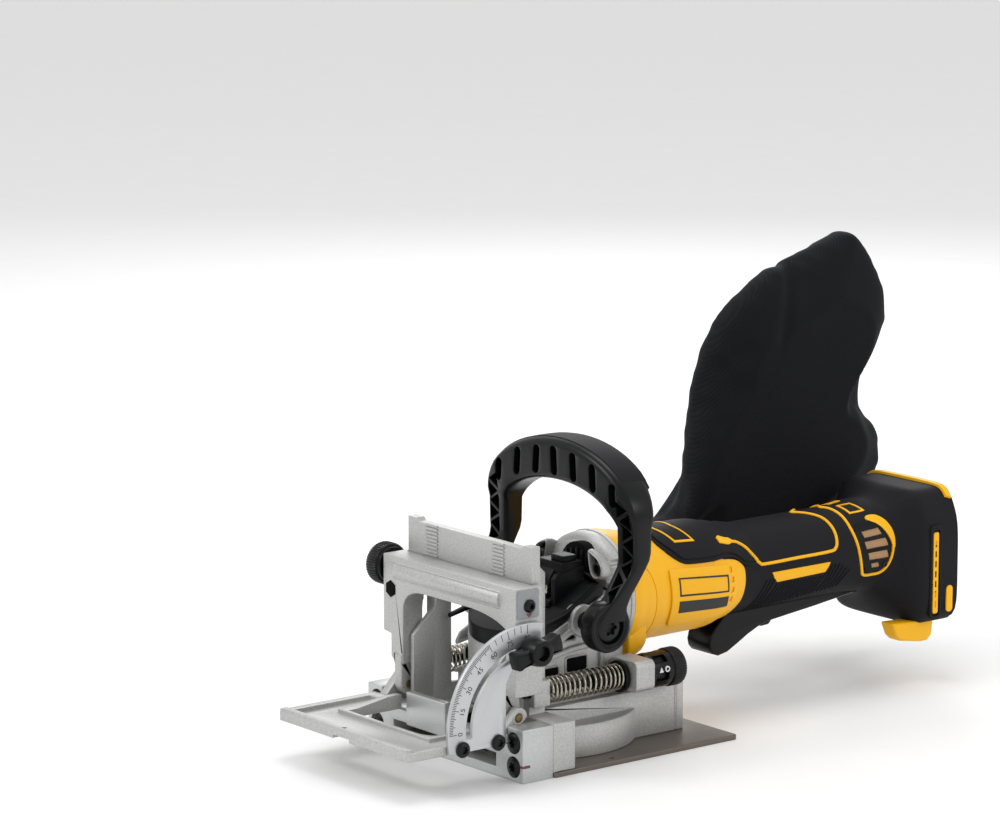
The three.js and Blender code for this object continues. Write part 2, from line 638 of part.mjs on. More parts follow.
function heightKnob() {
  const x1 = -CARRIER_W / 2 - KNOB_GAP;
  const x0 = x1 - HEIGHT_KNOB_L;
  const body = rod("x", HEIGHT_KNOB_R, [x0, x1 - 2], [SHAFT_Y, SHAFT_Z], HEIGHT_KNOB_R, 28);
  const neck = rod("x", HEIGHT_KNOB_R - 3, [x1 - 3, x1], [SHAFT_Y, SHAFT_Z]);
  return cut(join(body, neck), rod("x", SHAFT_R, [x1 - KNOB_SOCKET - CLEAR, x1 + 1], [SHAFT_Y,
    SHAFT_Z], SHAFT_R, 16));
}

function heightLockLever() {
  const at = [LEVER_Y, LEVER_Z];
  const x = -CARRIER_W / 2 - CLEAR;
  const pivot = rod("x", LEVER_PIN_R, [x - 1, x + 8], at, LEVER_PIN_R, 16);
  const hub = rod("x", 6, [x - 6, x], at, 6, 20);
  const arm = box([x - 5.5, x - 1.5], [LEVER_Y, LEVER_Y + 22], [LEVER_Z - 3.5, LEVER_Z + 3.5]);
  return join(pivot, hub, arm);
}

// ---------------------------------------------------------------- tilting fence
function fenceFlap() {
  const half = FLAP_W / 2;
  const top = FLAP_BOTTOM + FLAP_T;
  const plan = new THREE.Shape();
  plan.moveTo(-half, FLAP_REAR);
  plan.lineTo(-half, FLAP_FRONT + 4);
  plan.lineTo(-half + 4, FLAP_FRONT);
  plan.lineTo(half - 1.5, FLAP_FRONT);
  plan.lineTo(half, FLAP_FRONT + 1.5);
  plan.lineTo(half, FLAP_REAR);
  plan.lineTo(FLAP_WINDOW[1], FLAP_REAR);
  plan.lineTo(FLAP_WINDOW[1], FLAP_WINDOW_FRONT + 10);
  plan.quadraticCurveTo(FLAP_WINDOW[1], FLAP_WINDOW_FRONT, FLAP_WINDOW[1] - 14, FLAP_WINDOW_FRONT);
  plan.lineTo(FLAP_WINDOW[0], FLAP_WINDOW_FRONT);
  plan.lineTo(FLAP_WINDOW[0], FLAP_REAR);
  const slab = prism("z", plan, [FLAP_BOTTOM, top], 5);
  const inner = FLAP_BOTTOM + FLAP_WEB;
  const recessFront = box([-half + FLAP_RIM, half - FLAP_RIM],
    [FLAP_FRONT + FLAP_LIP_D, FLAP_WINDOW_FRONT - 3], [inner, top + 5]);
  const recessNear = box([FLAP_WINDOW[1] + 3, half - FLAP_RIM], [FLAP_WINDOW_FRONT - 4, FLAP_REAR - 8],
    [inner, top + 5]);
  const recessFar = box([-half + FLAP_RIM, FLAP_WINDOW[0] - 7], [FLAP_WINDOW_FRONT - 4, FLAP_REAR - 8],
    [inner, top + 5]);
  const lip = box([-half + 4, half - 1.5], [FLAP_FRONT, FLAP_FRONT + FLAP_LIP_D - 1], [top - 1,
    FLAP_BOTTOM + FLAP_LIP]);
  const notch = box([-8, 8], [FLAP_FRONT - 1, FLAP_FRONT + 12], [FLAP_BOTTOM - 1, FLAP_BOTTOM + 2.2]);
  const rib = prism("x", outline([
    [FLAP_WINDOW_FRONT, top - 1], [FLAP_REAR, top - 1], [FLAP_REAR, top + 3.4], [FLAP_REAR - 10, top + 3.4],
  ]), [FLAP_WINDOW[0] - 5, FLAP_WINDOW[0]]);
  const body = cut(join(slab, lip, rib), recessFront, recessNear, recessFar, notch);
  const screws = QUAD_SCREW_Y.map((y) => rod("x", 1.5 + CLEAR / 2, [half - 9, half + 1], [y,
    QUAD_SCREW_Z], 1.5 + CLEAR / 2, 12));
  return cut(join(body, flapLug(1), flapLug(-1)), ...screws);
}

function flapLug(side) {
  const x = [TIP_X1 + RUN, LUG_X1];
  const shape = new THREE.Shape();
  const r = TIP_R - 0.2;
  shape.moveTo(FLAP_REAR - 3, FLAP_BOTTOM + 0.5);
  shape.lineTo(HINGE_Y - 4, FLAP_BOTTOM + 2);
  shape.lineTo(HINGE_Y + r, HINGE_Z);
  shape.absarc(HINGE_Y, HINGE_Z, r, 0, Math.PI / 2);
  shape.lineTo(FLAP_REAR + 0.5, FLAP_BOTTOM + FLAP_T);
  shape.lineTo(FLAP_REAR - 3, FLAP_BOTTOM + FLAP_T);
  const lug = prism("x", shape, x, 6);
  const made = cut(lug, rod("x", HINGE_PIN_R + CLEAR, [x[0] - 1, x[1] + 1], [HINGE_Y, HINGE_Z],
    HINGE_PIN_R + CLEAR, 16));
  return side > 0 ? made : mirrorX(made);
}

function angleQuadrant() {
  const down = HINGE_Z - FLAP_BOTTOM - 0.6;
  const start = Math.PI + Math.asin(down / QUAD_R);
  const end = (78 * Math.PI) / 180;
  const innerR = QUAD_SLOT_R - 6;
  const s = new THREE.Shape();
  s.moveTo(HINGE_Y - 16, HINGE_Z - down);
  s.lineTo(HINGE_Y + QUAD_R * Math.cos(start), HINGE_Z - down);
  s.absarc(HINGE_Y, HINGE_Z, QUAD_R, start, end, true);
  s.absarc(HINGE_Y, HINGE_Z, innerR, end, (104 * Math.PI) / 180, false);
  s.lineTo(HINGE_Y - 16, HINGE_Z + 25);
  const plate = prism("x", s, quadX, 28);
  const screws = QUAD_SCREW_Y.map((y) =>
    rod("x", 1.5 + CLEAR / 2, [quadX[0] - 1, quadX[1] + 1], [y, QUAD_SCREW_Z], 1.5 + CLEAR / 2, 12));
  return cut(plate, quadrantSlot(), ...screws);
}

function quadrantSlot() {
  const r = QUAD_SLOT_W / 2;
  const a0 = (84 * Math.PI) / 180;
  const a1 = (186 * Math.PI) / 180;
  const s = new THREE.Shape();
  s.absarc(HINGE_Y, HINGE_Z, QUAD_SLOT_R + r, a0, a1, false);
  s.absarc(HINGE_Y, HINGE_Z, QUAD_SLOT_R - r, a1, a0, true);
  return prism("x", s, [quadX[0] - 1, quadX[1] + 1], 24);
}

function quadrantScrew(y) {
  const x = quadX[1];
  const head = rod("x", QUAD_HEAD_R, [x, x + 2.2], [y, QUAD_SCREW_Z], QUAD_HEAD_R - 0.8, 20);
  const shank = rod("x", 1.5, [FLAP_W / 2 - 7, x + 0.5], [y, QUAD_SCREW_Z], 1.5, 12);
  return cut(join(head, shank), rod("x", 1.8, [x + 1, x + 3], [y, QUAD_SCREW_Z], 1.8, 6));
}

function tiltKnob() {
  const x0 = quadX[1] + CLEAR;
  const x1 = x0 + KNOB_L;
  const at = [HINGE_Y, STUD_Z];
  // The neck is slim, so that the quadrant's front screw passes it.
  const neck = rod("x", KNOB_NECK_R, [x0, x0 + KNOB_NECK_L + 1], at);
  const hub = join(neck, rod("x", KNOB_HUB_R, [x0 + KNOB_NECK_L, x1 + 2], at, KNOB_HUB_R - 1));
  const socket = rod("x", 3.6, [x1 - 3, x1 + 3], at, 4.4, 20);
  const wing = prism("x", roundRect([-KNOB_WING, KNOB_WING], [-4.5, 4.5], 3), [x0 + 3, x1 - 1], 4);
  const tilted = wing.rotate([KNOB_TILT, 0, 0]).translate([0, at[0], at[1]]);
  const stud = rod("x", STUD_R, [CARRIER_W / 2 - 8, x0 + 1], at, STUD_R, 14);
  return join(cut(join(hub, tilted), socket), stud);
}

// ---------------------------------------------------------------- motor unit
function headPlan(extra) {
  const s = new THREE.Shape();
  const r = HEAD_R + extra;
  const half = HEAD_HALF_W + extra;
  const a = Math.acos(half / r);
  s.moveTo(half, RING_Y0 + 8);
  s.lineTo(-half, RING_Y0 + 8);
  s.absarc(0, 0, r, Math.PI + a, 2 * Math.PI - a, false);
  return s;
}

function gearHousing() {
  const roofFront = HEAD_FRONT_TOP;
  const roofRear = COVER_REAR_TOP - COVER_T;
  const side = outline([
    [-HEAD_R, 48], [-HEAD_R + 6, HEAD_BOTTOM], [RING_Y1 - 4, HEAD_BOTTOM], [RING_Y1 - 4, roofRear],
    [COVER_REAR_Y, roofRear], [-HEAD_R, roofFront],
  ]);
  const head = prism("x", side, [-HEAD_HALF_W, HEAD_HALF_W])
    .intersect(prism("z", headPlan(0), [HEAD_BOTTOM - 1, COVER_REAR_TOP], 16));
  const ring = rod("y", RING_R, [RING_Y0, RING_Y1], [0, AXIS_Z], RING_R, 40);
  const tongue = box([-TONGUE_HALF, TONGUE_HALF], TONGUE_Y, [GUARD_TOP + CLEAR, WALL_TOP]);
  const deck = box([-TONGUE_HALF, TONGUE_HALF], [TONGUE_Y[0], LUG_Y[1]], [WALL_TOP - 1, HEAD_BOTTOM + 5]);
  const boss = rod("z", SPINDLE_WAY_R - 3, [FLANGE_TOP + RUN, GUARD_TOP + 2], [0, BLADE_Y]);
  const lugs = [1, -1].map((s) => {
    const lug = prism("y", roundRect(MOTOR_LUG_X, MOTOR_LUG_Z, 4), LUG_Y, 4);
    return s > 0 ? lug : mirrorX(lug);
  });
  const bosses = housingScrewPlaces().map((at) => rod("y", 6.5, [RING_Y0 - 3, RING_Y0 + 4], at, 6.5, 16));
  // The seats of the front handle are slim where they pass the uprights at the end of the stroke.
  const handleBosses = [1, -1].map((s) => {
    const at = [HANDLE_BOSS_Y, HANDLE_BOSS_Z];
    const seat = join(rod("x", HANDLE_SEAT_R, [HEAD_HALF_W - SEAT_ROOT, UPRIGHT_X0 - RUN], at),
      rod("x", SEAT_NECK_R, [UPRIGHT_X0 - 2, HANDLE_IN - CLEAR], at));
    return s > 0 ? seat : mirrorX(seat);
  });
  const gearRoom = rod("z", GEAR_R + 3, [54, COVER_REAR_TOP + 5], [0, BLADE_Y], GEAR_R + 3, 32);
  const bearingWay = rod("z", BEARING_R + 0.1, [FLANGE_TOP, 60], [0, BLADE_Y], BEARING_R + 0.1);
  const motorWay = rod("y", 17.1, [5, RING_Y1 + 1], [0, AXIS_Z]);
  const throat = rod("y", RING_R - 6, [RING_Y1 - 8, RING_Y1 + 1], [0, AXIS_Z], RING_R - 6, 32);
  const lugBores = [1, -1].map((s) => rod("y", SLEEVE_R, [LUG_Y[0] - 1, LUG_Y[1] + 1], [s * ROD_X, ROD_Z]));
  const screwWays = housingScrewPlaces().map((at) => rod("y", 2.2, [RING_Y0 - 5, RING_Y0 + 14], at,
    2.2, 12));
  const handleWays = rod("x", 3.2, [-HANDLE_IN - 1, HANDLE_IN + 1], [HANDLE_BOSS_Y, HANDLE_BOSS_Z],
    3.2, 12);
  const solidHead = join(head, ring, tongue, deck, boss, ...lugs, ...bosses, ...handleBosses);
  return cut(solidHead, gearRoom, bearingWay, motorWay, throat, ...lugBores, ...screwWays, handleWays);
}

function housingScrewPlaces() {
  return [1, -1].map((s) => [s * 29, AXIS_Z + 24.5]);
}

function gearCover() {
  const side = outline([
    [-HEAD_R, HEAD_FRONT_TOP + CLEAR], [COVER_REAR_Y - CLEAR, COVER_REAR_TOP - COVER_T + CLEAR],
    [COVER_REAR_Y - CLEAR, COVER_REAR_TOP], [COVER_REAR_Y - 6, COVER_REAR_TOP], [-8, COVER_FRONT_TOP + 9],
    [-HEAD_R, COVER_FRONT_TOP],
  ]);
  const slab = prism("x", side, [-HEAD_HALF_W, HEAD_HALF_W])
    .intersect(prism("z", headPlan(0), [HEAD_BOTTOM - 1, COVER_REAR_TOP + 1], 16));
  const under = prism("x", outline([
    [-HEAD_R, HEAD_BOTTOM], [COVER_REAR_Y, HEAD_BOTTOM], [COVER_REAR_Y, COVER_REAR_TOP - COVER_T + CLEAR],
    [-HEAD_R, HEAD_FRONT_TOP + CLEAR],
  ]), [-HEAD_HALF_W, HEAD_HALF_W]);
  const tower = cut(box(BOX_X, BOX_Y, [COVER_FRONT_TOP + 4, BOX_TOP]), under);
  const gearRoom = join(rod("z", GEAR_R + 3, [50, COVER_FRONT_TOP + 1.2], [0, BLADE_Y], GEAR_R + 3, 32),
    rod("z", GEAR_R, [COVER_FRONT_TOP + 1, COVER_FRONT_TOP + 4], [0, BLADE_Y], GEAR_R * 0.65, 32));
  const buttonWay = rod("z", LOCK_R + CLEAR, [LOCK_PIN_Z - 6, BOX_TOP + 1], LOCK_AT, LOCK_R + CLEAR, 20);
  const pinionWay = rod("y", 17.1, [3, COVER_REAR_Y + 1], [0, AXIS_Z], 17.1, 24);
  const fill = cut(join(slab, tower), gearRoom, pinionWay, buttonWay);
  const handleBosses = rod("x", HANDLE_SEAT_R + CLEAR, [-HANDLE_IN, HANDLE_IN], [HANDLE_BOSS_Y,
    HANDLE_BOSS_Z]);
  const seatRoot = HEAD_HALF_W - SEAT_ROOT - CLEAR;
  const middle = box([-seatRoot, seatRoot], [-50, 50], [0, 150]);
  return cut(fill, ringKeepOut(), cut(handleBosses, middle));
}

function ringKeepOut() {
  return rod("y", RING_R + CLEAR, [RING_Y0 - 3 - CLEAR, RING_Y1], [0, AXIS_Z], RING_R + CLEAR, 40);
}

function spindleLockButton() {
  const cap = rod("z", LOCK_R, [BOX_TOP - 9, BOX_TOP + 4], LOCK_AT, LOCK_R - 0.5, 20);
  const pin = rod("z", 2.4, [LOCK_PIN_Z, BOX_TOP - 8], LOCK_AT, 2.4, 12);
  return join(cap, pin);
}

function housingScrew(at) {
  const y = RING_Y0 - 3;
  const head = rod("y", 4.2, [y - 3, y - CLEAR], at, 3.6, 16);
  return join(head, rod("y", 2, [y - 1, RING_Y0 + 12], at, 2, 12));
}

function motorCase() {
  const y0 = RING_Y1 + CLEAR;
  const w = CASE_WALL;
  const shell = turnedY([
    [RING_R - w - 1, y0], [RING_R, y0], [RING_R, y0 + 5], [CASE_R + 1.5, y0 + 22], [CASE_R, y0 + 34],
      [CASE_R, CASE_Y1 - 8],
    [CASE_R - 2, CASE_Y1], [CASE_R - 2 - w, CASE_Y1], [CASE_R - w, CASE_Y1 - 9], [CASE_R - w, y0 + 33],
    [CASE_R - w + 1, y0 + 20], [RING_R - w - 1, y0],
  ], [0, AXIS_Z], 32);
  return join(shell, rearBearingSeat());
}

// The rear grip and the dock are one clamshell, split on the middle plane.
function handleBody(inset) {
  const y0 = CASE_Y1 + CLEAR - (inset ? 1 : 0);
  const r = GRIP_R - inset;
  const grip = turnedY([[0, y0], [r + 2.5, y0], [r, y0 + 16], [r, GRIP_Y1 - 20], [r + 2, GRIP_Y1], [0,
    GRIP_Y1 + 14]],
    [0, AXIS_Z], 28);
  const h = DOCK_W / 2 - inset;
  const z = [DOCK_Z0 + inset, DOCK_Z1 - inset];
  const side = new THREE.Shape();
  side.moveTo(DOCK_Y1 + (inset ? 1 : 0), z[0] + 4);
  side.lineTo(DOCK_Y1 + (inset ? 1 : 0), z[1]);
  side.lineTo(DOCK_Y1 - 24 + inset, z[1]);
  side.quadraticCurveTo(GRIP_Y1 + 6 + inset, z[1] - 8, GRIP_Y1 + inset, AXIS_Z + 24);
  side.lineTo(GRIP_Y1 - 4 + inset, AXIS_Z - 26);
  side.quadraticCurveTo(GRIP_Y1 + inset, z[0], DOCK_Y1 - 30, z[0]);
  const across = roundRect([-h, h], [z[0] - 2, z[1]], 10);
  const dock = prism("x", side, [-h, h], 8).intersect(prism("y", across, [GRIP_Y1 - 20, DOCK_Y1 + 2], 6));
  return join(grip, dock);
}

function handleShell(side) {
  const y1 = DOCK_Y1;
  const hollow = cut(handleBody(0), handleBody(SHELL_WALL));
  const wall = box([-CAVITY_X, CAVITY_X], [CAVITY_Y - 3, CAVITY_Y], CAVITY_Z);
  const frame = cut(box([-DOCK_W / 2 + 3, DOCK_W / 2 - 3], [CAVITY_Y - 3, y1 - 2], [DOCK_Z0 + 6,
    DOCK_Z1 - 3]),
    box([-CAVITY_X, CAVITY_X], [CAVITY_Y - 4, y1 + 1], [DOCK_Z0, CAVITY_Z[1]]));
  const rails = [1, -1].map((s) =>
    box(s > 0 ? [CAVITY_X - 4, CAVITY_X + 1] : [-CAVITY_X - 1, 4 - CAVITY_X], [y1 - 9, y1 - 5],
      [DOCK_Z0 + 8, CAVITY_Z[1] - 4]));
  const cableHole = rod("y", 6, [CAVITY_Y - 5, CAVITY_Y + 1], [0, AXIS_Z]);
  const whole = cut(join(hollow, wall, frame, ...rails), cableHole, ...ventWays(), paddleWay(),
    dockMouth());
  const half = side > 0 ? box([0.05, 200], [0, 400], [-10, 250]) : box([-200, -0.05], [0, 400], [-10, 250]);
  return whole.intersect(half);
}

function dockMouth() {
  return box([-CAVITY_X + 4, CAVITY_X - 4], [CAVITY_Y + 0.01, DOCK_Y1 + 5], [DOCK_Z0 - 5, CAVITY_Z[1] - 2]);
}

function ventWays() {
  return [1, -1].map((s) => box(s > 0 ? [18, 40] : [-40, -18], VENT_Y, VENT_Z));
}

function ventCover(side) {
  const plate = box([GRIP_R - 5, GRIP_R - 1.2], [VENT_Y[0] + CLEAR, VENT_Y[1] - CLEAR],
    [VENT_Z[0] + CLEAR, VENT_Z[1] - CLEAR]);
  const slots = [0, 1, 2, 3].map((i) => {
    const z = VENT_Z[0] + 2.6 + i * 5.4;
    return box([0, 60], [VENT_Y[0] + 4, VENT_Y[1] - 4], [z, z + 3]);
  });
  const made = cut(plate, ...slots);
  return side > 0 ? made : mirrorX(made);
}

function paddleWay() {
  return box([-9, 9], [PADDLE_Y[0] + 22, PADDLE_Y[1] + 2], [AXIS_Z - GRIP_R - 3, AXIS_Z - GRIP_R + 6]);
}

function paddleSwitch() {
  const top = AXIS_Z - GRIP_R - 1.6;
  const s = new THREE.Shape();
  s.moveTo(PADDLE_Y[0] + 12, top - 13);
  s.quadraticCurveTo(PADDLE_Y[0] + 8, top - 24, PADDLE_Y[0] + 26, top - 27);
  s.quadraticCurveTo(PADDLE_Y[0] + 42, top - 27, PADDLE_Y[0] + 62, top - 15);
  s.lineTo(PADDLE_Y[1] - 6, top - 4.5);
  s.lineTo(PADDLE_Y[1], top - 4);
  s.lineTo(PADDLE_Y[1], top);
  s.lineTo(PADDLE_Y[0] + 62, top - 4);
  s.quadraticCurveTo(PADDLE_Y[0] + 40, top - 9, PADDLE_Y[0] + 26, top - 9);
  const body = prism("x", s, [-11, 11], 6);
  const ear = join(rod("x", 3.2, [-7, 7], PADDLE_HINGE, 3.2, 16),
    box([-7, 7], [PADDLE_HINGE[0] - 3, PADDLE_HINGE[0] + 3], [top - 2, PADDLE_HINGE[1]]));
  const hole = box([-LOCKOFF_HALF - CLEAR, LOCKOFF_HALF + CLEAR], LOCKOFF_Y, [0, 70]);
  return cut(join(body, ear), hole);
}

function lockOffLever() {
  const top = AXIS_Z - GRIP_R - 1.6;
  const y = [LOCKOFF_Y[0] + 2.5, LOCKOFF_Y[1] - 1.5];
  const s = outline([
    [y[0], top - 12], [y[0] + 2, top - 17.5], [y[0] + 7, top - 17.5], [y[1], top - 12], [y[1],
      top - 5], [y[0], top - 7],
  ]);
  return prism("x", s, [-LOCKOFF_HALF, LOCKOFF_HALF]);
}

function dockBumper() {
  const y = [DOCK_Y1 + CLEAR, DOCK_Y1 + 3];
  const half = DOCK_W / 2 - 2;
  const frame = cut(prism("y", roundRect([-half, half], [DOCK_Z0 + 2, DOCK_Z1 + 1.5], 9), y, 5),
    box([-CAVITY_X, CAVITY_X], [DOCK_Y1 - 1, DOCK_Y1 + 5], [DOCK_Z0 - 20, CAVITY_Z[1]]));
  const rim = box([-half + 10, half - 10], [DOCK_Y1 - 9, y[1]], [DOCK_Z1 + CLEAR, DOCK_Z1 + 1.8]);
  const feet = [1, -1].map((s) => {
    const foot = join(box([CAVITY_X, half - 3], [DOCK_Y1 - 30, y[1]], [DOCK_Z0 - 12, DOCK_Z0 - CLEAR]),
      box([CAVITY_X, half - 3], y, [DOCK_Z0 - 12, DOCK_Z0 + 12]));
    return s > 0 ? foot : mirrorX(foot);
  });
  return join(frame, rim, ...feet);
}

function terminalBlock() {
  const y = [CAVITY_Y + CLEAR, DOCK_Y1 - 4];
  const body = box([-14, 14], y, [70, 92]);
  const blades = [-9, -3, 3, 9].map((x) => box([x - 0.6, x + 0.6], [y[0] + 3, y[1] - 2], [56, 71]));
  return join(body, ...blades);
}

function controlModule() {
  const board = box([-13, 13], [170, 228], [AXIS_Z - 8, AXIS_Z + 16]);
  const trigger = box([-8, 8], [196, 222], [AXIS_Z - 22, AXIS_Z - 7]);
  return join(board, trigger);
}

// ---------------------------------------------------------------- front handle
function handleArch(grow) {
  const a = HANDLE_HALF + grow;
  const b = HANDLE_TOP - HANDLE_SPRING_Z + grow;
  const s = new THREE.Shape();
  s.moveTo(-a, HANDLE_SPRING_Z - 40);
  s.lineTo(-a, HANDLE_SPRING_Z);
  s.absellipse(0, HANDLE_SPRING_Z, a, b, Math.PI, 0, true);
  s.lineTo(a, HANDLE_SPRING_Z - 40);
  return s;
}

function frontHandle() {
  const b = HANDLE_TOP - HANDLE_SPRING_Z;
  const inner = new THREE.Shape();
  inner.moveTo(-HANDLE_IN, 50);
  inner.lineTo(-HANDLE_IN, HANDLE_SPRING_Z);
  inner.absellipse(0, HANDLE_SPRING_Z, HANDLE_IN, b - HANDLE_BAR, Math.PI, 0, true);
  inner.lineTo(HANDLE_IN, 50);
  const mid = (HANDLE_Y[0] + HANDLE_Y[1]) / 2;
  const barY = [mid - 12, mid + 12];
  const topOnly = box([-200, 200], barY, [HANDLE_SPRING_Z - 4, 300]);
  const arch = cut(prism("y", handleArch(0), barY, 16), prism("y", inner, [barY[0] - 1, barY[1] + 1], 16))
    .intersect(join(topOnly, box([-200, 200], HANDLE_Y, [114, 300])));
  const across = outline([
    [HANDLE_IN, 50], [HANDLE_BOSS_HALF, 50], [HANDLE_BOSS_HALF, 107], [HANDLE_HALF, 117], [HANDLE_HALF,
      130], [HANDLE_IN, 130],
  ]);
  const legs = [1, -1].map((s) => {
    const leg = prism("x", handleLeg(), [HANDLE_IN, HANDLE_HALF], 6).intersect(prism("y", across, [-60,
      60]));
    return s > 0 ? leg : mirrorX(leg);
  });
  const screwWays = [1, -1].flatMap((s) => handleScrewWay(s));
  return cut(join(arch, ...legs), handlePadRoom(0), ...screwWays);
}

function handleLeg() {
  const r = HANDLE_BOSS_R;
  const s = new THREE.Shape();
  s.moveTo(HANDLE_Y[0], 116);
  s.lineTo(HANDLE_BOSS_Y - r + 1, HANDLE_BOSS_Z + 6);
  s.absarc(HANDLE_BOSS_Y, HANDLE_BOSS_Z, r, Math.PI - 0.45, 2 * Math.PI, false);
  s.lineTo(HANDLE_BOSS_Y + r, HANDLE_BOSS_Z + 10);
  s.lineTo(HANDLE_Y[1], 114);
  s.lineTo(HANDLE_Y[1], 118);
  s.lineTo(HANDLE_Y[0], 118);
  return s;
}

function handleScrewWay(side) {
  const x = HANDLE_BOSS_HALF;
  const at = [HANDLE_BOSS_Y, HANDLE_BOSS_Z];
  const ways = [rod("x", HANDLE_SCREW_R + CLEAR, [x - 5, x + 9], at), rod("x", 3.6, [HANDLE_IN - 1, x],
    at, 3.6, 14)];
  return side > 0 ? ways : ways.map(mirrorX);
}

function handleScrew(side) {
  const x = HANDLE_BOSS_HALF;
  const at = [HANDLE_BOSS_Y, HANDLE_BOSS_Z];
  const head = rod("x", HANDLE_SCREW_R, [x - 5 + CLEAR, x - 1], at);
  const shank = rod("x", 3, [HEAD_HALF_W + 2, x - 4], at, 3, 12);
  const cross = join(box([x - 3, x], [at[0] - 4.5, at[0] + 4.5], [at[1] - 1, at[1] + 1]),
    box([x - 3, x], [at[0] - 1, at[0] + 1], [at[1] - 4.5, at[1] + 4.5]));
  const made = cut(join(head, shank), cross);
  return side > 0 ? made : mirrorX(made);
}

// The soft pad lies in a pocket along the top of the bar.
function handlePadRoom(shrink) {
  const mid = (HANDLE_Y[0] + HANDLE_Y[1]) / 2;
  const y = [mid - 8 + shrink, mid + 14];
  const band = cut(prism("y", handleArch(shrink ? 0 : 1), y, 16), prism("y", handleArch(-3.5 + shrink),
    [y[0] - 1, y[1] + 1], 16));
  const middle = box([-PAD_HALF + shrink, PAD_HALF - shrink], [y[0] - 2, mid + 12 + (shrink ? 0 : 1)],
    [HANDLE_SPRING_Z + 10, 300]);
  return band.intersect(middle);
}

// ---------------------------------------------------------------- springs' sleeves and depth turret
function springSleeve(side) {
  const span = [LUG_Y[0] - SLEEVE_L, LUG_Y[1] - 2];
  return cut(rod("y", SLEEVE_R - 0.05, span, [side * ROD_X, ROD_Z], SLEEVE_R - 0.05, 16),
    rod("y", ROD_R + CLEAR, [span[0] - 1, span[1] + 1], [side * ROD_X, ROD_Z], ROD_R + CLEAR, 16));
}

function depthTurret() {
  const y = [LUG_Y[1] + RUN, TURRET_Y1];
  const at = [ROD_X, ROD_Z];
  const drum = rod("y", TURRET_R - 0.7, [y[0], y[1] - 9], at, TURRET_R - 0.7, 30);
  const grip = rod("y", TURRET_R, [y[1] - 10, y[1]], at, TURRET_R, 30);
  const bore = rod("y", ROD_R + RUN, [y[0] - 1, y[1] - 2.5], at, ROD_R + RUN, 16);
  const windows = Array.from({ length: TURRET_NOTCHES }, (_, i) => {
    const notch = box([TURRET_R - 3, TURRET_R + 2], [y[0] + 4, y[0] + 14], [-2.6, 2.6]);
    return notch.rotate([0, (i * 360) / TURRET_NOTCHES + 15, 0]).translate([at[0], 0, at[1]]);
  });
  const screwWay = rod("y", 1.8, [y[1] - 4, y[1] + 1], at, 1.8, 12);
  return cut(join(drum, grip), bore, ...windows, screwWay);
}

function depthStopScrew() {
  const y = TURRET_Y1;
  return join(rod("y", 1.7, [y - 6, y], [ROD_X, ROD_Z], 1.7, 12), rod("y", 3.4, [y, y + 1.4], [ROD_X,
    ROD_Z], 3, 12));
}

// ---------------------------------------------------------------- drive
function spindle() {
  return turnedZ([
    [0, 4.6], [SPINDLE_R - 0.1, 4.6], [SPINDLE_R - 0.1, BLADE_Z + BLADE_T / 2 + CLEAR / 2], [FLANGE_R,
      BLADE_Z + BLADE_T / 2 + CLEAR / 2],
    [FLANGE_R, FLANGE_TOP - 0.6], [SPINDLE_REAR_R, FLANGE_TOP - 0.6], [SPINDLE_REAR_R, SPINDLE_TOP],
      [0, SPINDLE_TOP],
  ], 24);
}

function blade() {
  const s = new THREE.Shape();
  const r = BLADE_D / 2;
  const step = (2 * Math.PI) / BLADE_TEETH;
  for (let i = 0; i < BLADE_TEETH; i++) {
    const a = i * step;
    const p = (rad, ang) => [rad * Math.cos(ang), rad * Math.sin(ang)];
    if (i === 0) s.moveTo(...p(r - 6, a));
    s.lineTo(...p(r, a + 0.02));
    s.lineTo(...p(r, a + 0.12));
    s.absarc(0, 0, r - 1.5, a + 0.16, a + step - 0.28, false);
    s.quadraticCurveTo(...p(r - 11, a + step - 0.2), ...p(r - 6, a + step));
  }
  const disc = prism("z", s, [BLADE_Z - BLADE_T / 2, BLADE_Z + BLADE_T / 2], 6).translate([0, BLADE_Y, 0]);
  return cut(disc, rod("z", SPINDLE_R, [0, 30], [0, BLADE_Y], SPINDLE_R, 24));
}

function clampNut() {
  const z = [4.2, BLADE_Z - BLADE_T / 2 - 0.1];
  return cut(rod("z", NUT_R, z, [0, BLADE_Y], NUT_R, 6), rod("z", SPINDLE_R, [0, 30], [0, BLADE_Y],
    SPINDLE_R, 24));
}

function bearingZ(z, inner, outer) {
  return turnedZ([[inner, z[0]], [outer, z[0]], [outer, z[1]], [inner, z[1]], [inner, z[0]]], 24);
}

function bearingY(y, inner, outer) {
  return turnedY([[inner, y[0]], [outer, y[0]], [outer, y[1]], [inner, y[1]], [inner, y[0]]], [0,
    AXIS_Z], 24);
}

// Bevel teeth round an axis along Z through the origin, where the axes of the two gears meet. They
// taper to it.
function bevelTeeth(radius, depth, teeth, phase) {
  const far = Math.hypot(radius, depth);
  const near = far * (1 - BEVEL_FACE);
  const lean = Math.atan2(radius, depth) - BEVEL_SINK / far;
  return Array.from({ length: teeth }, (_, i) => {
    const r = BEVEL_TOOTH;
    const g = new THREE.CylinderGeometry((r * near) / far, r, far - near, 4, 1, false);
    g.translate(0, -(far + near) / 2, 0).rotateX(Math.PI / 2 - lean);
    g.rotateZ(((i + phase) / teeth) * 2 * Math.PI);
    return solid(g);
  });
}

// The blank behind those teeth, as a profile of [radius, height].
function bevelBlank(radius, depth, bore) {
  const far = Math.hypot(radius, depth);
  const lean = Math.atan2(radius, depth) - BEVEL_SINK / far;
  const near = far * (1 - BEVEL_FACE);
  const place = (l) => [l * Math.sin(lean), -l * Math.cos(lean)];
  const back = -depth - 3;
  return [[bore, back], [place(far)[0] - 1, back], place(far), place(near), [bore, place(near)[1]],
    [bore, back]];
}

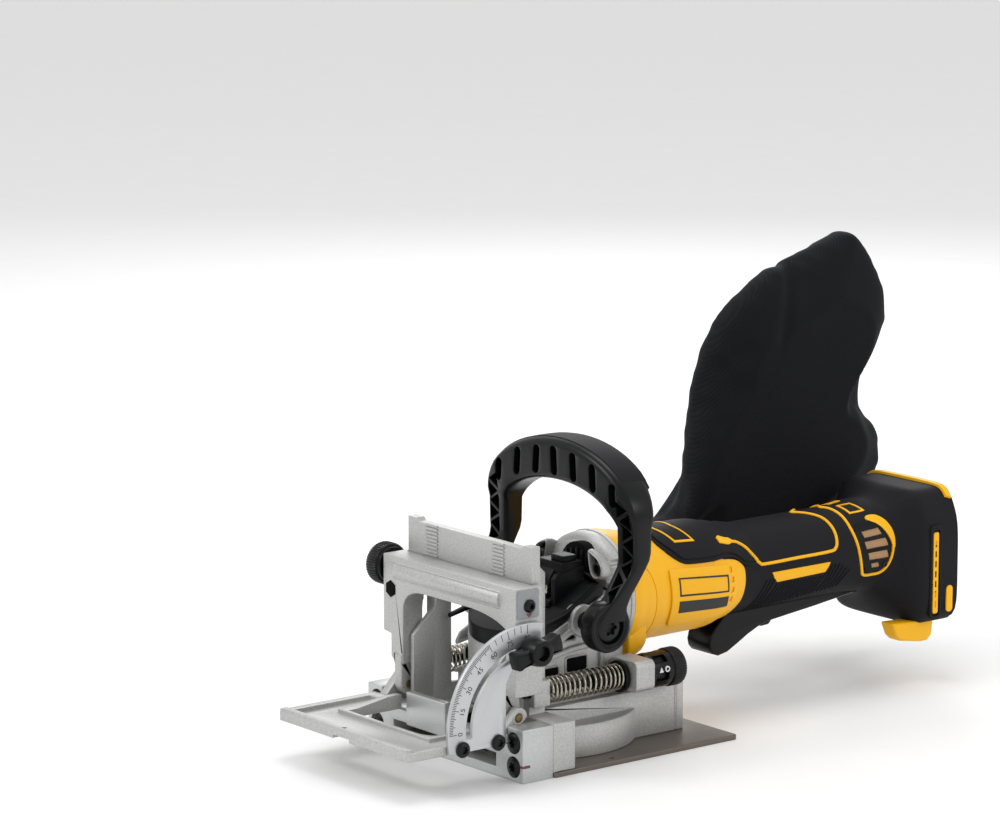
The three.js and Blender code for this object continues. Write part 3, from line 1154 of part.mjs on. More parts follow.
function bevelGear() {
  const lathe = new THREE.LatheGeometry(
    bevelBlank(GEAR_R, BEVEL_R, SPINDLE_REAR_R + 0.05).map(([r, z]) => new THREE.Vector2(r, z)), 36);
  lathe.rotateX(Math.PI / 2);
  const gear = join(solid(lathe), ...bevelTeeth(GEAR_R, BEVEL_R, GEAR_TEETH, 0));
  return gear.translate([0, BLADE_Y, AXIS_Z]);
}

// The bevel pinion is cut on the end of the rotor's shaft.
function rotor() {
  const armature = turnedY([
    [0, BLADE_Y + GEAR_R], [MOTOR_SHAFT_R, BLADE_Y + GEAR_R], [MOTOR_SHAFT_R, 52], [13, 52], [13, 92],
    [MOTOR_SHAFT_R, 92], [MOTOR_SHAFT_R, 116], [0, 116],
  ], [0, AXIS_Z], 20);
  const lathe = new THREE.LatheGeometry(
    bevelBlank(BEVEL_R, GEAR_R, 0).map(([r, z]) => new THREE.Vector2(r, z)), 20);
  lathe.rotateX(Math.PI / 2);
  // Half a tooth round from the gear's, so that they are in mesh.
  const pinion = join(solid(lathe), ...bevelTeeth(BEVEL_R, GEAR_R, BEVEL_TEETH, 0.5))
    .rotate([90, 0, 0]).translate([0, BLADE_Y, AXIS_Z]);
  return join(armature, pinion);
}

function stator() {
  return bearingY([50, 94], 13.8, CASE_R - CASE_WALL - 1);
}

function fan() {
  const disc = bearingY([97, 100], MOTOR_SHAFT_R + 0.05, 25);
  const blades = Array.from({ length: 9 }, (_, i) =>
    box([9, 25], [99.5, 106], [-0.8, 0.8]).rotate([0, i * 40, 0]).translate([0, 0, AXIS_Z]));
  return join(disc, ...blades);
}

function rearBearingSeat() {
  const ring = bearingY([108, 112], 9.1, CASE_R - CASE_WALL + 0.5);
  const windows = [0, 1, 2, 3].map((i) =>
    box([12, 24], [100, 120], [-5, 5]).rotate([0, i * 90 + 45, 0]).translate([0, 0, AXIS_Z]));
  return cut(ring, ...windows);
}

// ---------------------------------------------------------------- dust bag
function bagSolid(inset) {
  const s = new THREE.Shape();
  const left = BAG_SOFT + inset;
  s.moveTo(PORT_END[1] - 6 + left, PORT_END[2] + 14 + left);
  s.lineTo(146 + left, 106);
  s.lineTo(178 + left, 178);
  s.lineTo(187 + left, 208 - left);
  s.quadraticCurveTo(240 + left / 2, 258 - left, 296, 284 - left);
  s.quadraticCurveTo(330 - left, 290 - left, 335 - left, 248);
  s.lineTo(341 - left, 188);
  s.lineTo(336 - left, 150);
  s.quadraticCurveTo(336 - left, 112, 300, 98 + left);
  s.quadraticCurveTo(220, 78 + left, PORT_END[1] + 20, PORT_END[2] + 8 + left);
  const half = (BAG_X[1] - BAG_X[0]) / 2;
  const g = new THREE.ExtrudeGeometry(s, {
    depth: 2 * (half - BAG_SOFT), bevelEnabled: true, bevelThickness: BAG_SOFT - inset,
      bevelSize: BAG_SOFT - 1,
    bevelSegments: inset ? 1 : 3, curveSegments: inset ? 3 : 6,
  });
  g.applyMatrix4(new THREE.Matrix4().makeBasis(Y, Z, X)).translate(BAG_X[0] + BAG_SOFT, 0, 0);
  return solid(g);
}

// The bag is hollow and open at its neck, which grips the end of the dust port.
function dustBag() {
  const at = [PORT_END[0], PORT_END[1]];
  const neck = rod("z", PORT_R, [PORT_END[2] - 12, PORT_END[2] + 24], at);
  const mouth = rod("z", PORT_R - 1.4, [PORT_END[2] - 13, PORT_END[2] + 1], at);
  const throat = rod("z", PORT_R - 5, [PORT_END[2] - 1, PORT_END[2] + 40], at, PORT_R - 5, 10);
  return cut(join(bagSolid(0), neck), bagSolid(BAG_WALL), mouth, throat);
}

// ---------------------------------------------------------------- assembly
const sides = { near: 1, far: -1 };

node("face_plate", facePlate(), "machined");
node("base_casting", baseCasting(), "cast");
node("bottom_plate", bottomPlate(), "plate");
node("rack_plate", rackPlate(), "cast");
faceScrewPlaces().forEach((at, i) => {
  const where = ["near_lower", "near_upper", "far_lower", "far_upper"][i];
  node("face_screw_" + where, faceScrew(at), "blackSteel");
});
for (const [name, side] of Object.entries(sides)) {
  node("guide_rod_" + name, guideRod(side), "steel");
  node("return_spring_" + name, returnSpring(side), "steel");
  node("spring_sleeve_" + name, springSleeve(side), "black");
  node("hinge_pin_" + name, hingePin(side), "brass");
  node("handle_shell_" + name, handleShell(side), "soft");
  node("vent_cover_" + name, ventCover(side), "black");
  node("handle_screw_" + name, handleScrew(side), "blackSteel");
  node("housing_screw_" + name, housingScrew(housingScrewPlaces()[side > 0 ? 0 : 1]), "blackSteel");
}
node("dust_port", dustPort(), "black");
node("fence_carrier", fenceCarrier(), "cast");
node("pointer_window", pointerWindow(), "clear");
node("pointer_screw", pointerScrew(), "blackSteel");
node("pinion_shaft", pinionShaft(), "steel");
node("height_knob", heightKnob(), "black");
node("height_lock_lever", heightLockLever(), "black");
node("fence_flap", fenceFlap(), "cast");
node("angle_quadrant", angleQuadrant(), "machined");
node("quadrant_screw_front", quadrantScrew(QUAD_SCREW_Y[0]), "blackSteel");
node("quadrant_screw_rear", quadrantScrew(QUAD_SCREW_Y[1]), "blackSteel");
node("tilt_knob", tiltKnob(), "black");
node("gear_housing", gearHousing(), "cast");
node("gear_cover", gearCover(), "black");
node("spindle_lock_button", spindleLockButton(), "steel");
node("motor_case", motorCase(), "yellow");
node("dock_bumper", dockBumper(), "yellow");
node("terminal_block", terminalBlock(), "black");
node("control_module", controlModule(), "black");
node("front_handle", frontHandle(), "black");
node("handle_pad", handlePadRoom(CLEAR), "soft");
node("depth_turret", depthTurret(), "black");
node("depth_stop_screw", depthStopScrew(), "blackSteel");
node("spindle", spindle(), "steel");
node("blade", blade(), "steel");
node("clamp_nut", clampNut(), "steel");
node("spindle_bearing", bearingZ([24, 32], SPINDLE_REAR_R + 0.1, BEARING_R - 0.05), "steel");
node("bevel_gear", bevelGear(), "steel");
node("rotor", rotor(), "steel");
node("stator", stator(), "copper");
node("fan", fan(), "black");
node("front_bearing", bearingY([28, 36], MOTOR_SHAFT_R + 0.05, 17), "steel");
node("rear_bearing", bearingY([108, 115], MOTOR_SHAFT_R + 0.05, 9), "steel");
node("paddle_switch", paddleSwitch(), "black");
node("lock_off_lever", lockOffLever(), "black");
node("dust_bag", dustBag(), "cloth");

export default joiner;
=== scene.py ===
# The looks of a cordless biscuit joiner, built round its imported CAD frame.
# Sizes in the helpers are millimetres in the part's own frame: +Z up, -Y towards the work.
import json
import math

import bmesh
import bpy
from mathutils import Matrix, Vector, noise
from mathutils.bvhtree import BVHTree


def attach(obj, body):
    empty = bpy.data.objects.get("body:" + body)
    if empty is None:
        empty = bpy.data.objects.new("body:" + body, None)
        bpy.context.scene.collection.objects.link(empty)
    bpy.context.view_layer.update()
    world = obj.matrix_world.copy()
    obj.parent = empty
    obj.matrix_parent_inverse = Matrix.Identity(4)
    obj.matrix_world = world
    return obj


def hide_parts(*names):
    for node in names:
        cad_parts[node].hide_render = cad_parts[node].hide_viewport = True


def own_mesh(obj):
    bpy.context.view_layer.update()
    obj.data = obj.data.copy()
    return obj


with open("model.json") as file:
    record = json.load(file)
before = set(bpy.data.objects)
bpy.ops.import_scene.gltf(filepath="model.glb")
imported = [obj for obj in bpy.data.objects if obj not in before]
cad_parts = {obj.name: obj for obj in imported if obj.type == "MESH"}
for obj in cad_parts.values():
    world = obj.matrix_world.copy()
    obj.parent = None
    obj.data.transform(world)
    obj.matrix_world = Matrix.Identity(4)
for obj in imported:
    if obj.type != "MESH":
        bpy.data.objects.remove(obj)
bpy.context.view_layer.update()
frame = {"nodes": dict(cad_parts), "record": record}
MM = 0.001
AXIS_Z = 86.0  # motor and grip axis
NODE_BODY = {n: b for b, ns in frame["record"]["behaviour"]["bodies"].items() for n in ns}
SLOT_OF = {p["node"]: p["material_slot"] for p in frame["record"]["subparts"]}


# ---------------------------------------------------------------- materials
def srgb(r, g, b):
    return tuple(c / 12.92 if c <= 0.04045 else ((c + 0.055) / 1.055) ** 2.4 for c in (r / 255, g / 255,
            b / 255)) + (1.0,)


def shade(color, k):
    return tuple(min(1.0, c * k) for c in color[:3]) + (1.0,)


class Shader:
    """A principled material whose nodes are added one at a time."""

    def __init__(self, name):
        self.material = bpy.data.materials.new(name)
        self.material.use_nodes = True
        self.tree = self.material.node_tree
        self.out = self.tree.nodes["Principled BSDF"]
        self.coords = self.tree.nodes.new("ShaderNodeTexCoord").outputs["Object"]

    def node(self, kind, **values):
        made = self.tree.nodes.new(kind)
        for key, value in values.items():
            setattr(made, key, value)
        return made

    def link(self, a, b):
        self.tree.links.new(a, b)

    def mapped(self, scale, rotation=(0, 0, 0)):
        m = self.node("ShaderNodeMapping")
        m.inputs["Scale"].default_value = scale
        m.inputs["Rotation"].default_value = rotation
        self.link(self.coords, m.inputs["Vector"])
        return m.outputs["Vector"]

    def noise(self, scale, detail=3.0, rough=0.55, at=None):
        n = self.node("ShaderNodeTexNoise")
        n.inputs["Scale"].default_value = scale
        n.inputs["Detail"].default_value = detail
        n.inputs["Roughness"].default_value = rough
        self.link(at or self.coords, n.inputs["Vector"])
        return n.outputs["Fac"]

    def wave(self, scale, at, distortion=0.0):
        n = self.node("ShaderNodeTexWave", wave_type="BANDS", bands_direction="X")
        n.inputs["Scale"].default_value = scale
        n.inputs["Distortion"].default_value = distortion
        self.link(at, n.inputs["Vector"])
        return n.outputs["Fac"]

    def spread(self, value, low, high, start=0.3, end=0.7):
        m = self.node("ShaderNodeMapRange")
        m.inputs["From Min"].default_value = start
        m.inputs["From Max"].default_value = end
        m.inputs["To Min"].default_value = low
        m.inputs["To Max"].default_value = high
        self.link(value, m.inputs["Value"])
        return m.outputs["Result"]

    def math(self, operation, a, b):
        m = self.node("ShaderNodeMath", operation=operation)
        for i, v in enumerate((a, b)):
            if isinstance(v, float):
                m.inputs[i].default_value = v
            else:
                self.link(v, m.inputs[i])
        return m.outputs[0]

    def mix(self, factor, a, b):
        m = self.node("ShaderNodeMix", data_type="RGBA")
        self.link(factor, m.inputs["Factor"])
        for socket, v in ((m.inputs[6], a), (m.inputs[7], b)):
            if isinstance(v, tuple):
                socket.default_value = v
            else:
                self.link(v, socket)
        return m.outputs[2]

    def bump(self, height, strength, distance, under=None):
        b = self.node("ShaderNodeBump")
        b.inputs["Strength"].default_value = strength
        b.inputs["Distance"].default_value = distance
        self.link(height, b.inputs["Height"])
        if under:
            self.link(under, b.inputs["Normal"])
        return b.outputs["Normal"]


def surface(name, color, metal=0.0, rough=0.5, speckle=0.3, vary=0.1, grain=1400.0, relief=0.06,
        brushed=None,
            wear=0.0, coat=0.0, spec=0.5, broad=24.0):
    """A moulded, cast or machined finish: fine grain, broad mottling, uneven gloss and rubbed edges."""
    s = Shader(name)
    at = s.mapped(brushed) if brushed else None
    fine = s.noise(grain, 4.0, 0.6, at)
    wide = s.noise(broad, 5.0, 0.6)
    both = s.math("ADD", s.math("MULTIPLY", fine, float(speckle)), s.math("MULTIPLY", wide, 1.0 - speckle))
    tint = s.mix(s.spread(both, 0.0, 1.0), shade(color, 1.0 - vary), shade(color, 1.0 + vary))
    roughness = s.spread(both, rough - 0.05, rough + 0.07)
    if wear:
        # Edges are found by comparing the surface's normal with one rounded over 0.5 mm.
        edge = s.node("ShaderNodeBevel", samples=4)
        edge.inputs["Radius"].default_value = 0.0006
        geometry = s.node("ShaderNodeNewGeometry")
        dot = s.node("ShaderNodeVectorMath", operation="DOT_PRODUCT")
        s.link(edge.outputs["Normal"], dot.inputs[0])
        s.link(geometry.outputs["Normal"], dot.inputs[1])
        rubbed = s.spread(s.math("SUBTRACT", 1.0, dot.outputs["Value"]), 0.0, 1.0, 0.01, 0.16)
        rubbed = s.math("MULTIPLY", rubbed, s.spread(s.noise(260.0, 3.0), 0.2, wear))
        tint = s.mix(rubbed, tint, shade(color, 1.5) if metal else shade(color, 1.7))
    s.link(tint, s.out.inputs["Base Color"])
    s.link(roughness, s.out.inputs["Roughness"])
    s.link(s.bump(fine, 0.6, relief * MM), s.out.inputs["Normal"])
    s.out.inputs["Metallic"].default_value = metal
    s.out.inputs["Coat Weight"].default_value = coat
    s.out.inputs["Specular IOR Level"].default_value = spec
    return s.material


def twill(name, color):
    """Fine diagonal weave with a little sheen."""
    s = Shader(name)
    warp = s.wave(210.0, s.mapped((1, 1, 1), (math.radians(42), 0, math.radians(90))), 0.6)
    weft = s.wave(260.0, s.mapped((1, 1, 1), (math.radians(-50), 0, math.radians(90))), 0.6)
    weave = s.math("ADD", s.math("MULTIPLY", warp, 0.7), s.math("MULTIPLY", weft, 0.3))
    wide = s.noise(14.0, 4.0)
    both = s.math("ADD", s.math("MULTIPLY", weave, 0.5), s.math("MULTIPLY", wide, 0.5))
    s.link(s.mix(s.spread(both, 0.0, 1.0), shade(color, 0.6), shade(color, 1.5)),
            s.out.inputs["Base Color"])
    s.link(s.spread(wide, 0.82, 0.95), s.out.inputs["Roughness"])
    s.link(s.bump(weave, 0.7, 0.12 * MM), s.out.inputs["Normal"])
    s.out.inputs["Sheen Weight"].default_value = 0.25
    s.out.inputs["Sheen Roughness"].default_value = 0.5
    s.out.inputs["Sheen Tint"].default_value = srgb(90, 92, 100)
    s.out.inputs["Specular IOR Level"].default_value = 0.2
    return s.material


def gauze(name, color):
    """Woven wire mesh behind the motor vents."""
    s = Shader(name)
    a = s.wave(420.0, s.mapped((1, 1, 1), (0, 0, math.radians(90))))
    b = s.wave(420.0, s.mapped((1, 1, 1), (0, math.radians(90), 0)))
    weave = s.math("MAXIMUM", a, b)
    s.link(s.mix(weave, shade(color, 0.35), shade(color, 1.25)), s.out.inputs["Base Color"])
    s.link(s.spread(weave, 0.35, 0.6), s.out.inputs["Roughness"])
    s.link(s.bump(weave, 0.8, 0.1 * MM), s.out.inputs["Normal"])
    s.out.inputs["Metallic"].default_value = 0.5
    return s.material


def windings(name):
    """Copper wire round dark laminations."""
    s = Shader(name)
    wire = s.wave(300.0, s.mapped((1, 1, 1), (0, 0, math.radians(90))), 1.5)
    s.link(s.mix(wire, srgb(70, 40, 22), srgb(190, 110, 60)), s.out.inputs["Base Color"])
    s.link(s.spread(wire, 0.3, 0.5), s.out.inputs["Roughness"])
    s.link(s.bump(wire, 0.8, 0.2 * MM), s.out.inputs["Normal"])
    s.out.inputs["Metallic"].default_value = 0.8
    return s.material


def frosted(name):
    s = Shader(name)
    wide = s.noise(60.0)
    s.link(s.mix(wide, srgb(150, 154, 160), srgb(190, 194, 198)), s.out.inputs["Base Color"])
    s.link(s.spread(wide, 0.12, 0.25), s.out.inputs["Roughness"])
    s.link(s.bump(s.noise(500.0), 0.2, 0.02 * MM), s.out.inputs["Normal"])
    s.out.inputs["Transmission Weight"].default_value = 0.35
    s.out.inputs["IOR"].default_value = 1.49
    return s.material


CAST = surface("cast_aluminium", srgb(186, 186, 184), 0.65, 0.5, 0.8, 0.22, 950.0, 0.14, wear=0.5)
MACHINED = surface("machined_aluminium", srgb(194, 195, 195), 0.75, 0.4, 0.7, 0.12, 900.0, 0.05, wear=0.4)
RING = surface("quadrant_aluminium", srgb(196, 198, 200), 0.75, 0.36, 0.4, 0.05, 900.0, 0.02,
        brushed=(1, 0.1, 0.1), wear=0.4)
PLATE = surface("ground_plate", srgb(112, 104, 96), 0.7, 0.42, 0.5, 0.12, 700.0, 0.03, brushed=(0.05, 1, 1),
        wear=0.5)
STEEL = surface("bright_steel", srgb(168, 163, 152), 0.95, 0.28, 0.4, 0.1, 900.0, 0.02)
WIRE = surface("spring_wire", srgb(176, 170, 156), 0.95, 0.22, 0.4, 0.1, 900.0, 0.02)
BRASS = surface("turned_brass", srgb(128, 106, 70), 0.9, 0.35, 0.4, 0.1, 900.0, 0.02)
BLACK_STEEL = surface("black_screws", srgb(20, 21, 23), 0.3, 0.36, 0.4, 0.2, 1100.0, 0.03, wear=0.3,
        spec=0.35)
BLACK = surface("black_moulding", srgb(13, 14, 16), 0.0, 0.4, 0.6, 0.2, 1400.0, 0.05, wear=0.2, spec=0.17)
GLOSS = surface("black_gloss_moulding", srgb(9, 10, 12), 0.0, 0.3, 0.3, 0.18, 700.0, 0.012, wear=0.12,
        spec=0.24)
SOFT = surface("soft_grip", srgb(25, 25, 28), 0.0, 0.62, 0.75, 0.16, 1300.0, 0.08, wear=0.15, spec=0.15)
# Near-black matte used as painted shade on the floors of pockets and recesses.
PAINTED_SHADE = surface("dark_seam", srgb(8, 8, 9), 0.0, 0.8, 0.6, 0.15, 1500.0, 0.05, spec=0.1)
YELLOW = surface("yellow_moulding", srgb(250, 184, 12), 0.0, 0.38, 0.6, 0.035, 1500.0, 0.05, wear=0.3,
        spec=0.35)
LINE_YELLOW = surface("yellow_inlay", srgb(250, 184, 16), 0.0, 0.44, 0.6, 0.04, 1500.0, 0.03, spec=0.3)
WHITE = surface("white_print", srgb(225, 225, 220), 0.0, 0.5, 0.6, 0.05, 1500.0, 0.01)
PRINT = surface("black_print", srgb(30, 32, 34), 0.0, 0.5, 0.6, 0.1, 1500.0, 0.01)
RED = surface("dull_red_mark", srgb(112, 58, 60), 0.0, 0.6, 0.6, 0.12, 1500.0, 0.02)
CLEAR = frosted("pointer_window")
CLOTH = twill("bag_twill", srgb(13, 14, 18))
GAUZE = gauze("vent_gauze", srgb(178, 142, 104))
COPPER = windings("windings")


# ---------------------------------------------------------------- mesh helpers
def link(name, mesh, material):
    mesh.materials.clear()
    mesh.materials.append(material)
    obj = bpy.data.objects.new(name, mesh)
    bpy.context.scene.collection.objects.link(obj)
    return obj


def from_bmesh(name, bm, material, angle=35):
    """Takes millimetres and gives an object in metres with smooth shading up to that angle."""
    bmesh.ops.recalc_face_normals(bm, faces=bm.faces)
    for v in bm.verts:
        v.co *= MM
    mesh = bpy.data.meshes.new(name)
    bm.to_mesh(mesh)
    bm.free()
    mesh.shade_smooth()
    mesh.set_sharp_from_angle(angle=math.radians(angle))
    return link(name, mesh, material)


def applied(obj, angle=35):
    """Applies an object's modifiers to its mesh."""
    shown = obj.evaluated_get(bpy.context.evaluated_depsgraph_get())
    mesh = bpy.data.meshes.new_from_object(shown)
    obj.modifiers.clear()
    old, obj.data = obj.data, mesh
    bpy.data.meshes.remove(old)
    mesh.shade_smooth()
    mesh.set_sharp_from_angle(angle=math.radians(angle))
    return obj


def rounded(obj, width=0.5, segments=2, limit=32, angle=35):
    m = obj.modifiers.new("bevel", "BEVEL")
    m.width = width * MM
    m.segments = segments
    m.limit_method = "ANGLE"
    m.angle_limit = math.radians(limit)
    m.use_clamp_overlap = False
    m.miter_outer = "MITER_ARC"
    return applied(obj, angle)


def carved(obj, *tools, operation="DIFFERENCE"):
    """Cuts tool objects out of obj, or joins them to it, and removes them."""
    for tool in tools:
        m = obj.modifiers.new("cut", "BOOLEAN")
        m.object = tool
        m.operation = operation
        m.solver = "EXACT"
        m.use_self = False
    applied(obj)
    for tool in tools:
        mesh = tool.data
        bpy.data.objects.remove(tool)
        bpy.data.meshes.remove(mesh)
    return obj


def joined(name, objs):
    """One object that holds several meshes."""
    bm = bmesh.new()
    for o in objs:
        bm.from_mesh(o.data)
    material = objs[0].data.materials[0]
    mesh = bpy.data.meshes.new(name)
    bm.to_mesh(mesh)
    bm.free()
    for o in objs:
        old = o.data
        bpy.data.objects.remove(o)
        bpy.data.meshes.remove(old)
    mesh.shade_smooth()
    mesh.set_sharp_from_angle(angle=math.radians(35))
    return link(name, mesh, material)


def piece(obj, body, slot, *replaced):
    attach(obj, body)
    if replaced:
        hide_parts(*replaced)
    return obj


AXES = {"x": (Vector((0, 1, 0)), Vector((0, 0, 1)), Vector((1, 0, 0))),
        "y": (Vector((1, 0, 0)), Vector((0, 0, 1)), Vector((0, 1, 0))),
        "z": (Vector((1, 0, 0)), Vector((0, 1, 0)), Vector((0, 0, 1)))}


def prism(name, axis, outline, span, material, width=0.4, segments=2):
    """An outline across an axis, extruded along it, with rounded edges. x: (y, z), y: (x, z), z: (x, y)."""
    u, v, w = AXES[axis]
    bm = bmesh.new()
    low = [bm.verts.new(u * a + v * b + w * span[0]) for a, b in outline]
    high = [bm.verts.new(u * a + v * b + w * span[1]) for a, b in outline]
    bm.faces.new(low)
    bm.faces.new(list(reversed(high)))
    for i in range(len(outline)):
        k = (i + 1) % len(outline)
        bm.faces.new((low[i], low[k], high[k], high[i]))
    obj = from_bmesh(name, bm, material)
    return rounded(obj, width, segments) if width else obj


def arc(center, r, a0, a1, steps=12, squash=1.0):
    return [(center[0] + r * math.cos(math.radians(a0 + (a1 - a0) * i / steps)),
             center[1] + r * squash * math.sin(math.radians(a0 + (a1 - a0) * i / steps)))
             for i in range(steps + 1)]


def round_rect(a, b, r, steps=5):
    return (arc((a[1] - r, b[0] + r), r, -90, 0, steps) + arc((a[1] - r, b[1] - r), r, 0, 90, steps)
            + arc((a[0] + r, b[1] - r), r, 90, 180, steps) + arc((a[0] + r, b[0] + r), r, 180, 270, steps))


def lathe(name, axis, profile, at, material, sides=64, lobes=0, angle=30):
    """Rings of (radius, place, lobe depth) about an axis through at, closed at both ends."""
    u, v, w = AXES[axis]
    center = u * at[0] + v * at[1]
    bm = bmesh.new()
    rings = []
    for ring in profile:
        r, place, depth = (*ring, 0.0)[:3]
        if r <= 0:
            rings.append([bm.verts.new(center + w * place)])
            continue
        loop = []
        for i in range(sides):
            a = 2 * math.pi * i / sides
            rr = r + depth * math.cos(lobes * a)
            loop.append(bm.verts.new(center + u * rr * math.cos(a) + v * rr * math.sin(a) + w * place))
        rings.append(loop)
    for p, q in zip(rings, rings[1:]):
        for i in range(sides):
            k = (i + 1) % sides
            if len(p) == 1:
                bm.faces.new((p[0], q[i], q[k]))
            elif len(q) == 1:
                bm.faces.new((p[i], p[k], q[0]))
            else:
                bm.faces.new((p[i], p[k], q[k], q[i]))
    for loop in (rings[0], rings[-1]):
        if len(loop) > 1:
            bm.faces.new(loop)
    return from_bmesh(name, bm, material, angle)


def torus_lathe(name, axis, profile, at, material, sides=64, lobes=0):
    """As lathe, for a profile that closes on itself and so makes a ring."""
    u, v, w = AXES[axis]
    center = u * at[0] + v * at[1]
    bm = bmesh.new()
    rings = []
    for ring in profile:
        r, place, depth = (*ring, 0.0)[:3]
        rings.append([])
        for i in range(sides):
            a = 2 * math.pi * i / sides
            rr = r + depth * math.cos(lobes * a)
            rings[-1].append(bm.verts.new(center + u * rr * math.cos(a) + v * rr * math.sin(a) + w * place))
    for p, q in zip(rings, rings[1:] + rings[:1]):
        for i in range(sides):
            k = (i + 1) % sides
            bm.faces.new((p[i], p[k], q[k], q[i]))
    return from_bmesh(name, bm, material, 30)


def loft(name, sections, material, angle=40):
    """Skins closed loops of points, and caps both ends."""
    bm = bmesh.new()
    loops = [[bm.verts.new(p) for p in s] for s in sections]
    n = len(loops[0])
    for p, q in zip(loops, loops[1:]):
        for i in range(n):
            k = (i + 1) % n
            bm.faces.new((p[i], p[k], q[k], q[i]))
    bm.faces.new(loops[0])
    bm.faces.new(list(reversed(loops[-1])))
    return from_bmesh(name, bm, material, angle)


def tube(name, points, r, material, sides=12, closed=False):
    """A round wire through points, which are close enough together to look smooth."""
    n = len(points)
    points = [Vector(p) for p in points]
    bm = bmesh.new()
    rings = []
    side = None
    for i, p in enumerate(points):
        ahead = points[(i + 1) % n] if closed or i < n - 1 else p
        behind = points[i - 1] if closed or i else p
        t = (ahead - behind).normalized()
        if side is None:
            side = t.orthogonal().normalized()
        side = (side - t * side.dot(t)).normalized()
        up = t.cross(side)
        rings.append([bm.verts.new(p + side * r * math.cos(a) + up * r * math.sin(a))
                      for a in (2 * math.pi * k / sides for k in range(sides))])
    pairs = list(zip(rings, rings[1:])) + ([(rings[-1], rings[0])] if closed else [])
    for p, q in pairs:
        for i in range(sides):
            k = (i + 1) % sides
            bm.faces.new((p[i], p[k], q[k], q[i]))
    if not closed:
        bm.faces.new(rings[0])
        bm.faces.new(rings[-1])
    return from_bmesh(name, bm, material, 60)


def smooth_path(points, steps=8, closed=False):
    """Catmull-Rom through points."""
    pts = [Vector(p) for p in points]
    n = len(pts)
    out = []
    for i in range(n if closed else n - 1):
        p0 = pts[(i - 1) % n] if closed or i else pts[0]
        p1, p2 = pts[i], pts[(i + 1) % n]
        p3 = pts[(i + 2) % n] if closed or i < n - 2 else pts[-1]
        for k in range(steps):
            t = k / steps
            out.append(0.5 * ((2 * p1) + (p2 - p0) * t + (2 * p0 - 5 * p1 + 4 * p2 - p3) * t * t
                              + (3 * p1 - p0 - 3 * p2 + p3) * t ** 3))
    if not closed:
        out.append(pts[-1])
    return out


def dress(node, material, width=0.45, segments=2, angle=35):
    """The CAD node's own shape with rounded edges."""
    bm = bmesh.new()
    bm.from_mesh(frame["nodes"][node].data)
    bmesh.ops.remove_doubles(bm, verts=bm.verts, dist=2e-6)
    bmesh.ops.dissolve_limit(bm, angle_limit=math.radians(1.0), verts=bm.verts, edges=bm.edges)
    bmesh.ops.scale(bm, vec=(1 / MM,) * 3, verts=bm.verts)
    obj = from_bmesh("look_" + node, bm, material, angle)
    if width:
        rounded(obj, width, segments)
    return piece(obj, NODE_BODY[node], SLOT_OF[node], node)


# The radius of the yellow case and of the grip behind it, along the motor's axis.
CASE = [(45.3, 39.0), (50, 38.8), (58, 37.2), (68, 35.6), (80, 34.2), (114, 34.0), (122, 33.0)]
GRIP = [(118, 33.2), (126, 32.2), (134, 30.6), (142, 29.0), (152, 28.5), (242, 28.5), (252, 29.2),
        (262, 30.5)]


class Skin:
    """Finds a finished shape's radius anywhere round the motor's axis, looking in from outside."""

    def __init__(self, *objs):
        shown = bpy.context.evaluated_depsgraph_get()
        shown.update()
        self.trees = [BVHTree.FromObject(o, shown) for o in objs]

    def at(self, y, degrees):
        a = math.radians(degrees)
        out = Vector((math.cos(a), 0, math.sin(a)))
        middle = Vector((0, y, AXIS_Z)) * MM
        hits = [tree.ray_cast(middle + out * 0.09, -out)[0] for tree in self.trees]
        found = [(h - middle).dot(out) / MM for h in hits if h]
        return max(found) if found else 30.0


def radius(profile, y, degrees=0.0):
    if isinstance(profile, Skin):
        return profile.at(y, degrees)
    if y <= profile[0][0]:
        return profile[0][1]
    for (y0, r0), (y1, r1) in zip(profile, profile[1:]):
        if y <= y1:
            t = (y - y0) / (y1 - y0)
            t = t * t * (3 - 2 * t)
            return r0 + (r1 - r0) * t
    return profile[-1][1]


def on_axis(y, degrees, r):
    a = math.radians(degrees)
    return Vector((r * math.cos(a), y, AXIS_Z + r * math.sin(a)))


def mirrored(points):
    return [(y, 180 - a) for y, a in points]


def wrap(name, outline, profile, low, high, material, side=1, width=0.4, step=4.0):
    """A patch on the round case or grip: its outline is in (y, degrees), and it stands from low to high over it."""
    points = outline if side > 0 else mirrored(outline)
    bm = bmesh.new()
    scale = 0.5  # millimetres per degree, about right for this radius
    verts = [bm.verts.new((y, a * scale, 0)) for y, a in points]
    face = bm.faces.new(verts)
    made = bmesh.ops.extrude_face_region(bm, geom=[face])
    tops = [g for g in made["geom"] if isinstance(g, bmesh.types.BMVert)]
    for v in tops:
        v.co.z = high - low
    bmesh.ops.recalc_face_normals(bm, faces=bm.faces)
    if width:
        rims = [e for e in bm.edges if all(v.co.z > 0.5 * (high - low)
                for v in e.verts) and len(e.link_faces) == 2]
        bmesh.ops.bevel(bm, geom=rims, offset=width, segments=2, affect="EDGES", profile=0.6)
    angles = [a for _, a in points]
    a = math.ceil(min(angles) / step) * step
    while a < max(angles):
        geom = list(bm.verts) + list(bm.edges) + list(bm.faces)
        bmesh.ops.bisect_plane(bm, geom=geom, plane_co=(0, a * scale, 0), plane_no=(0, 1, 0), dist=1e-5)
        a += step
    ys = [y for y, _ in points]
    y = math.ceil(min(ys) / 4.0) * 4.0
    while y < max(ys):
        geom = list(bm.verts) + list(bm.edges) + list(bm.faces)
        bmesh.ops.bisect_plane(bm, geom=geom, plane_co=(y, 0, 0), plane_no=(1, 0, 0), dist=1e-5)
        y += 4.0
    for v in bm.verts:
        angle = v.co.y / scale
        v.co = on_axis(v.co.x, angle, radius(profile, v.co.x, angle) + low + v.co.z)
    return from_bmesh(name, bm, material, 40)


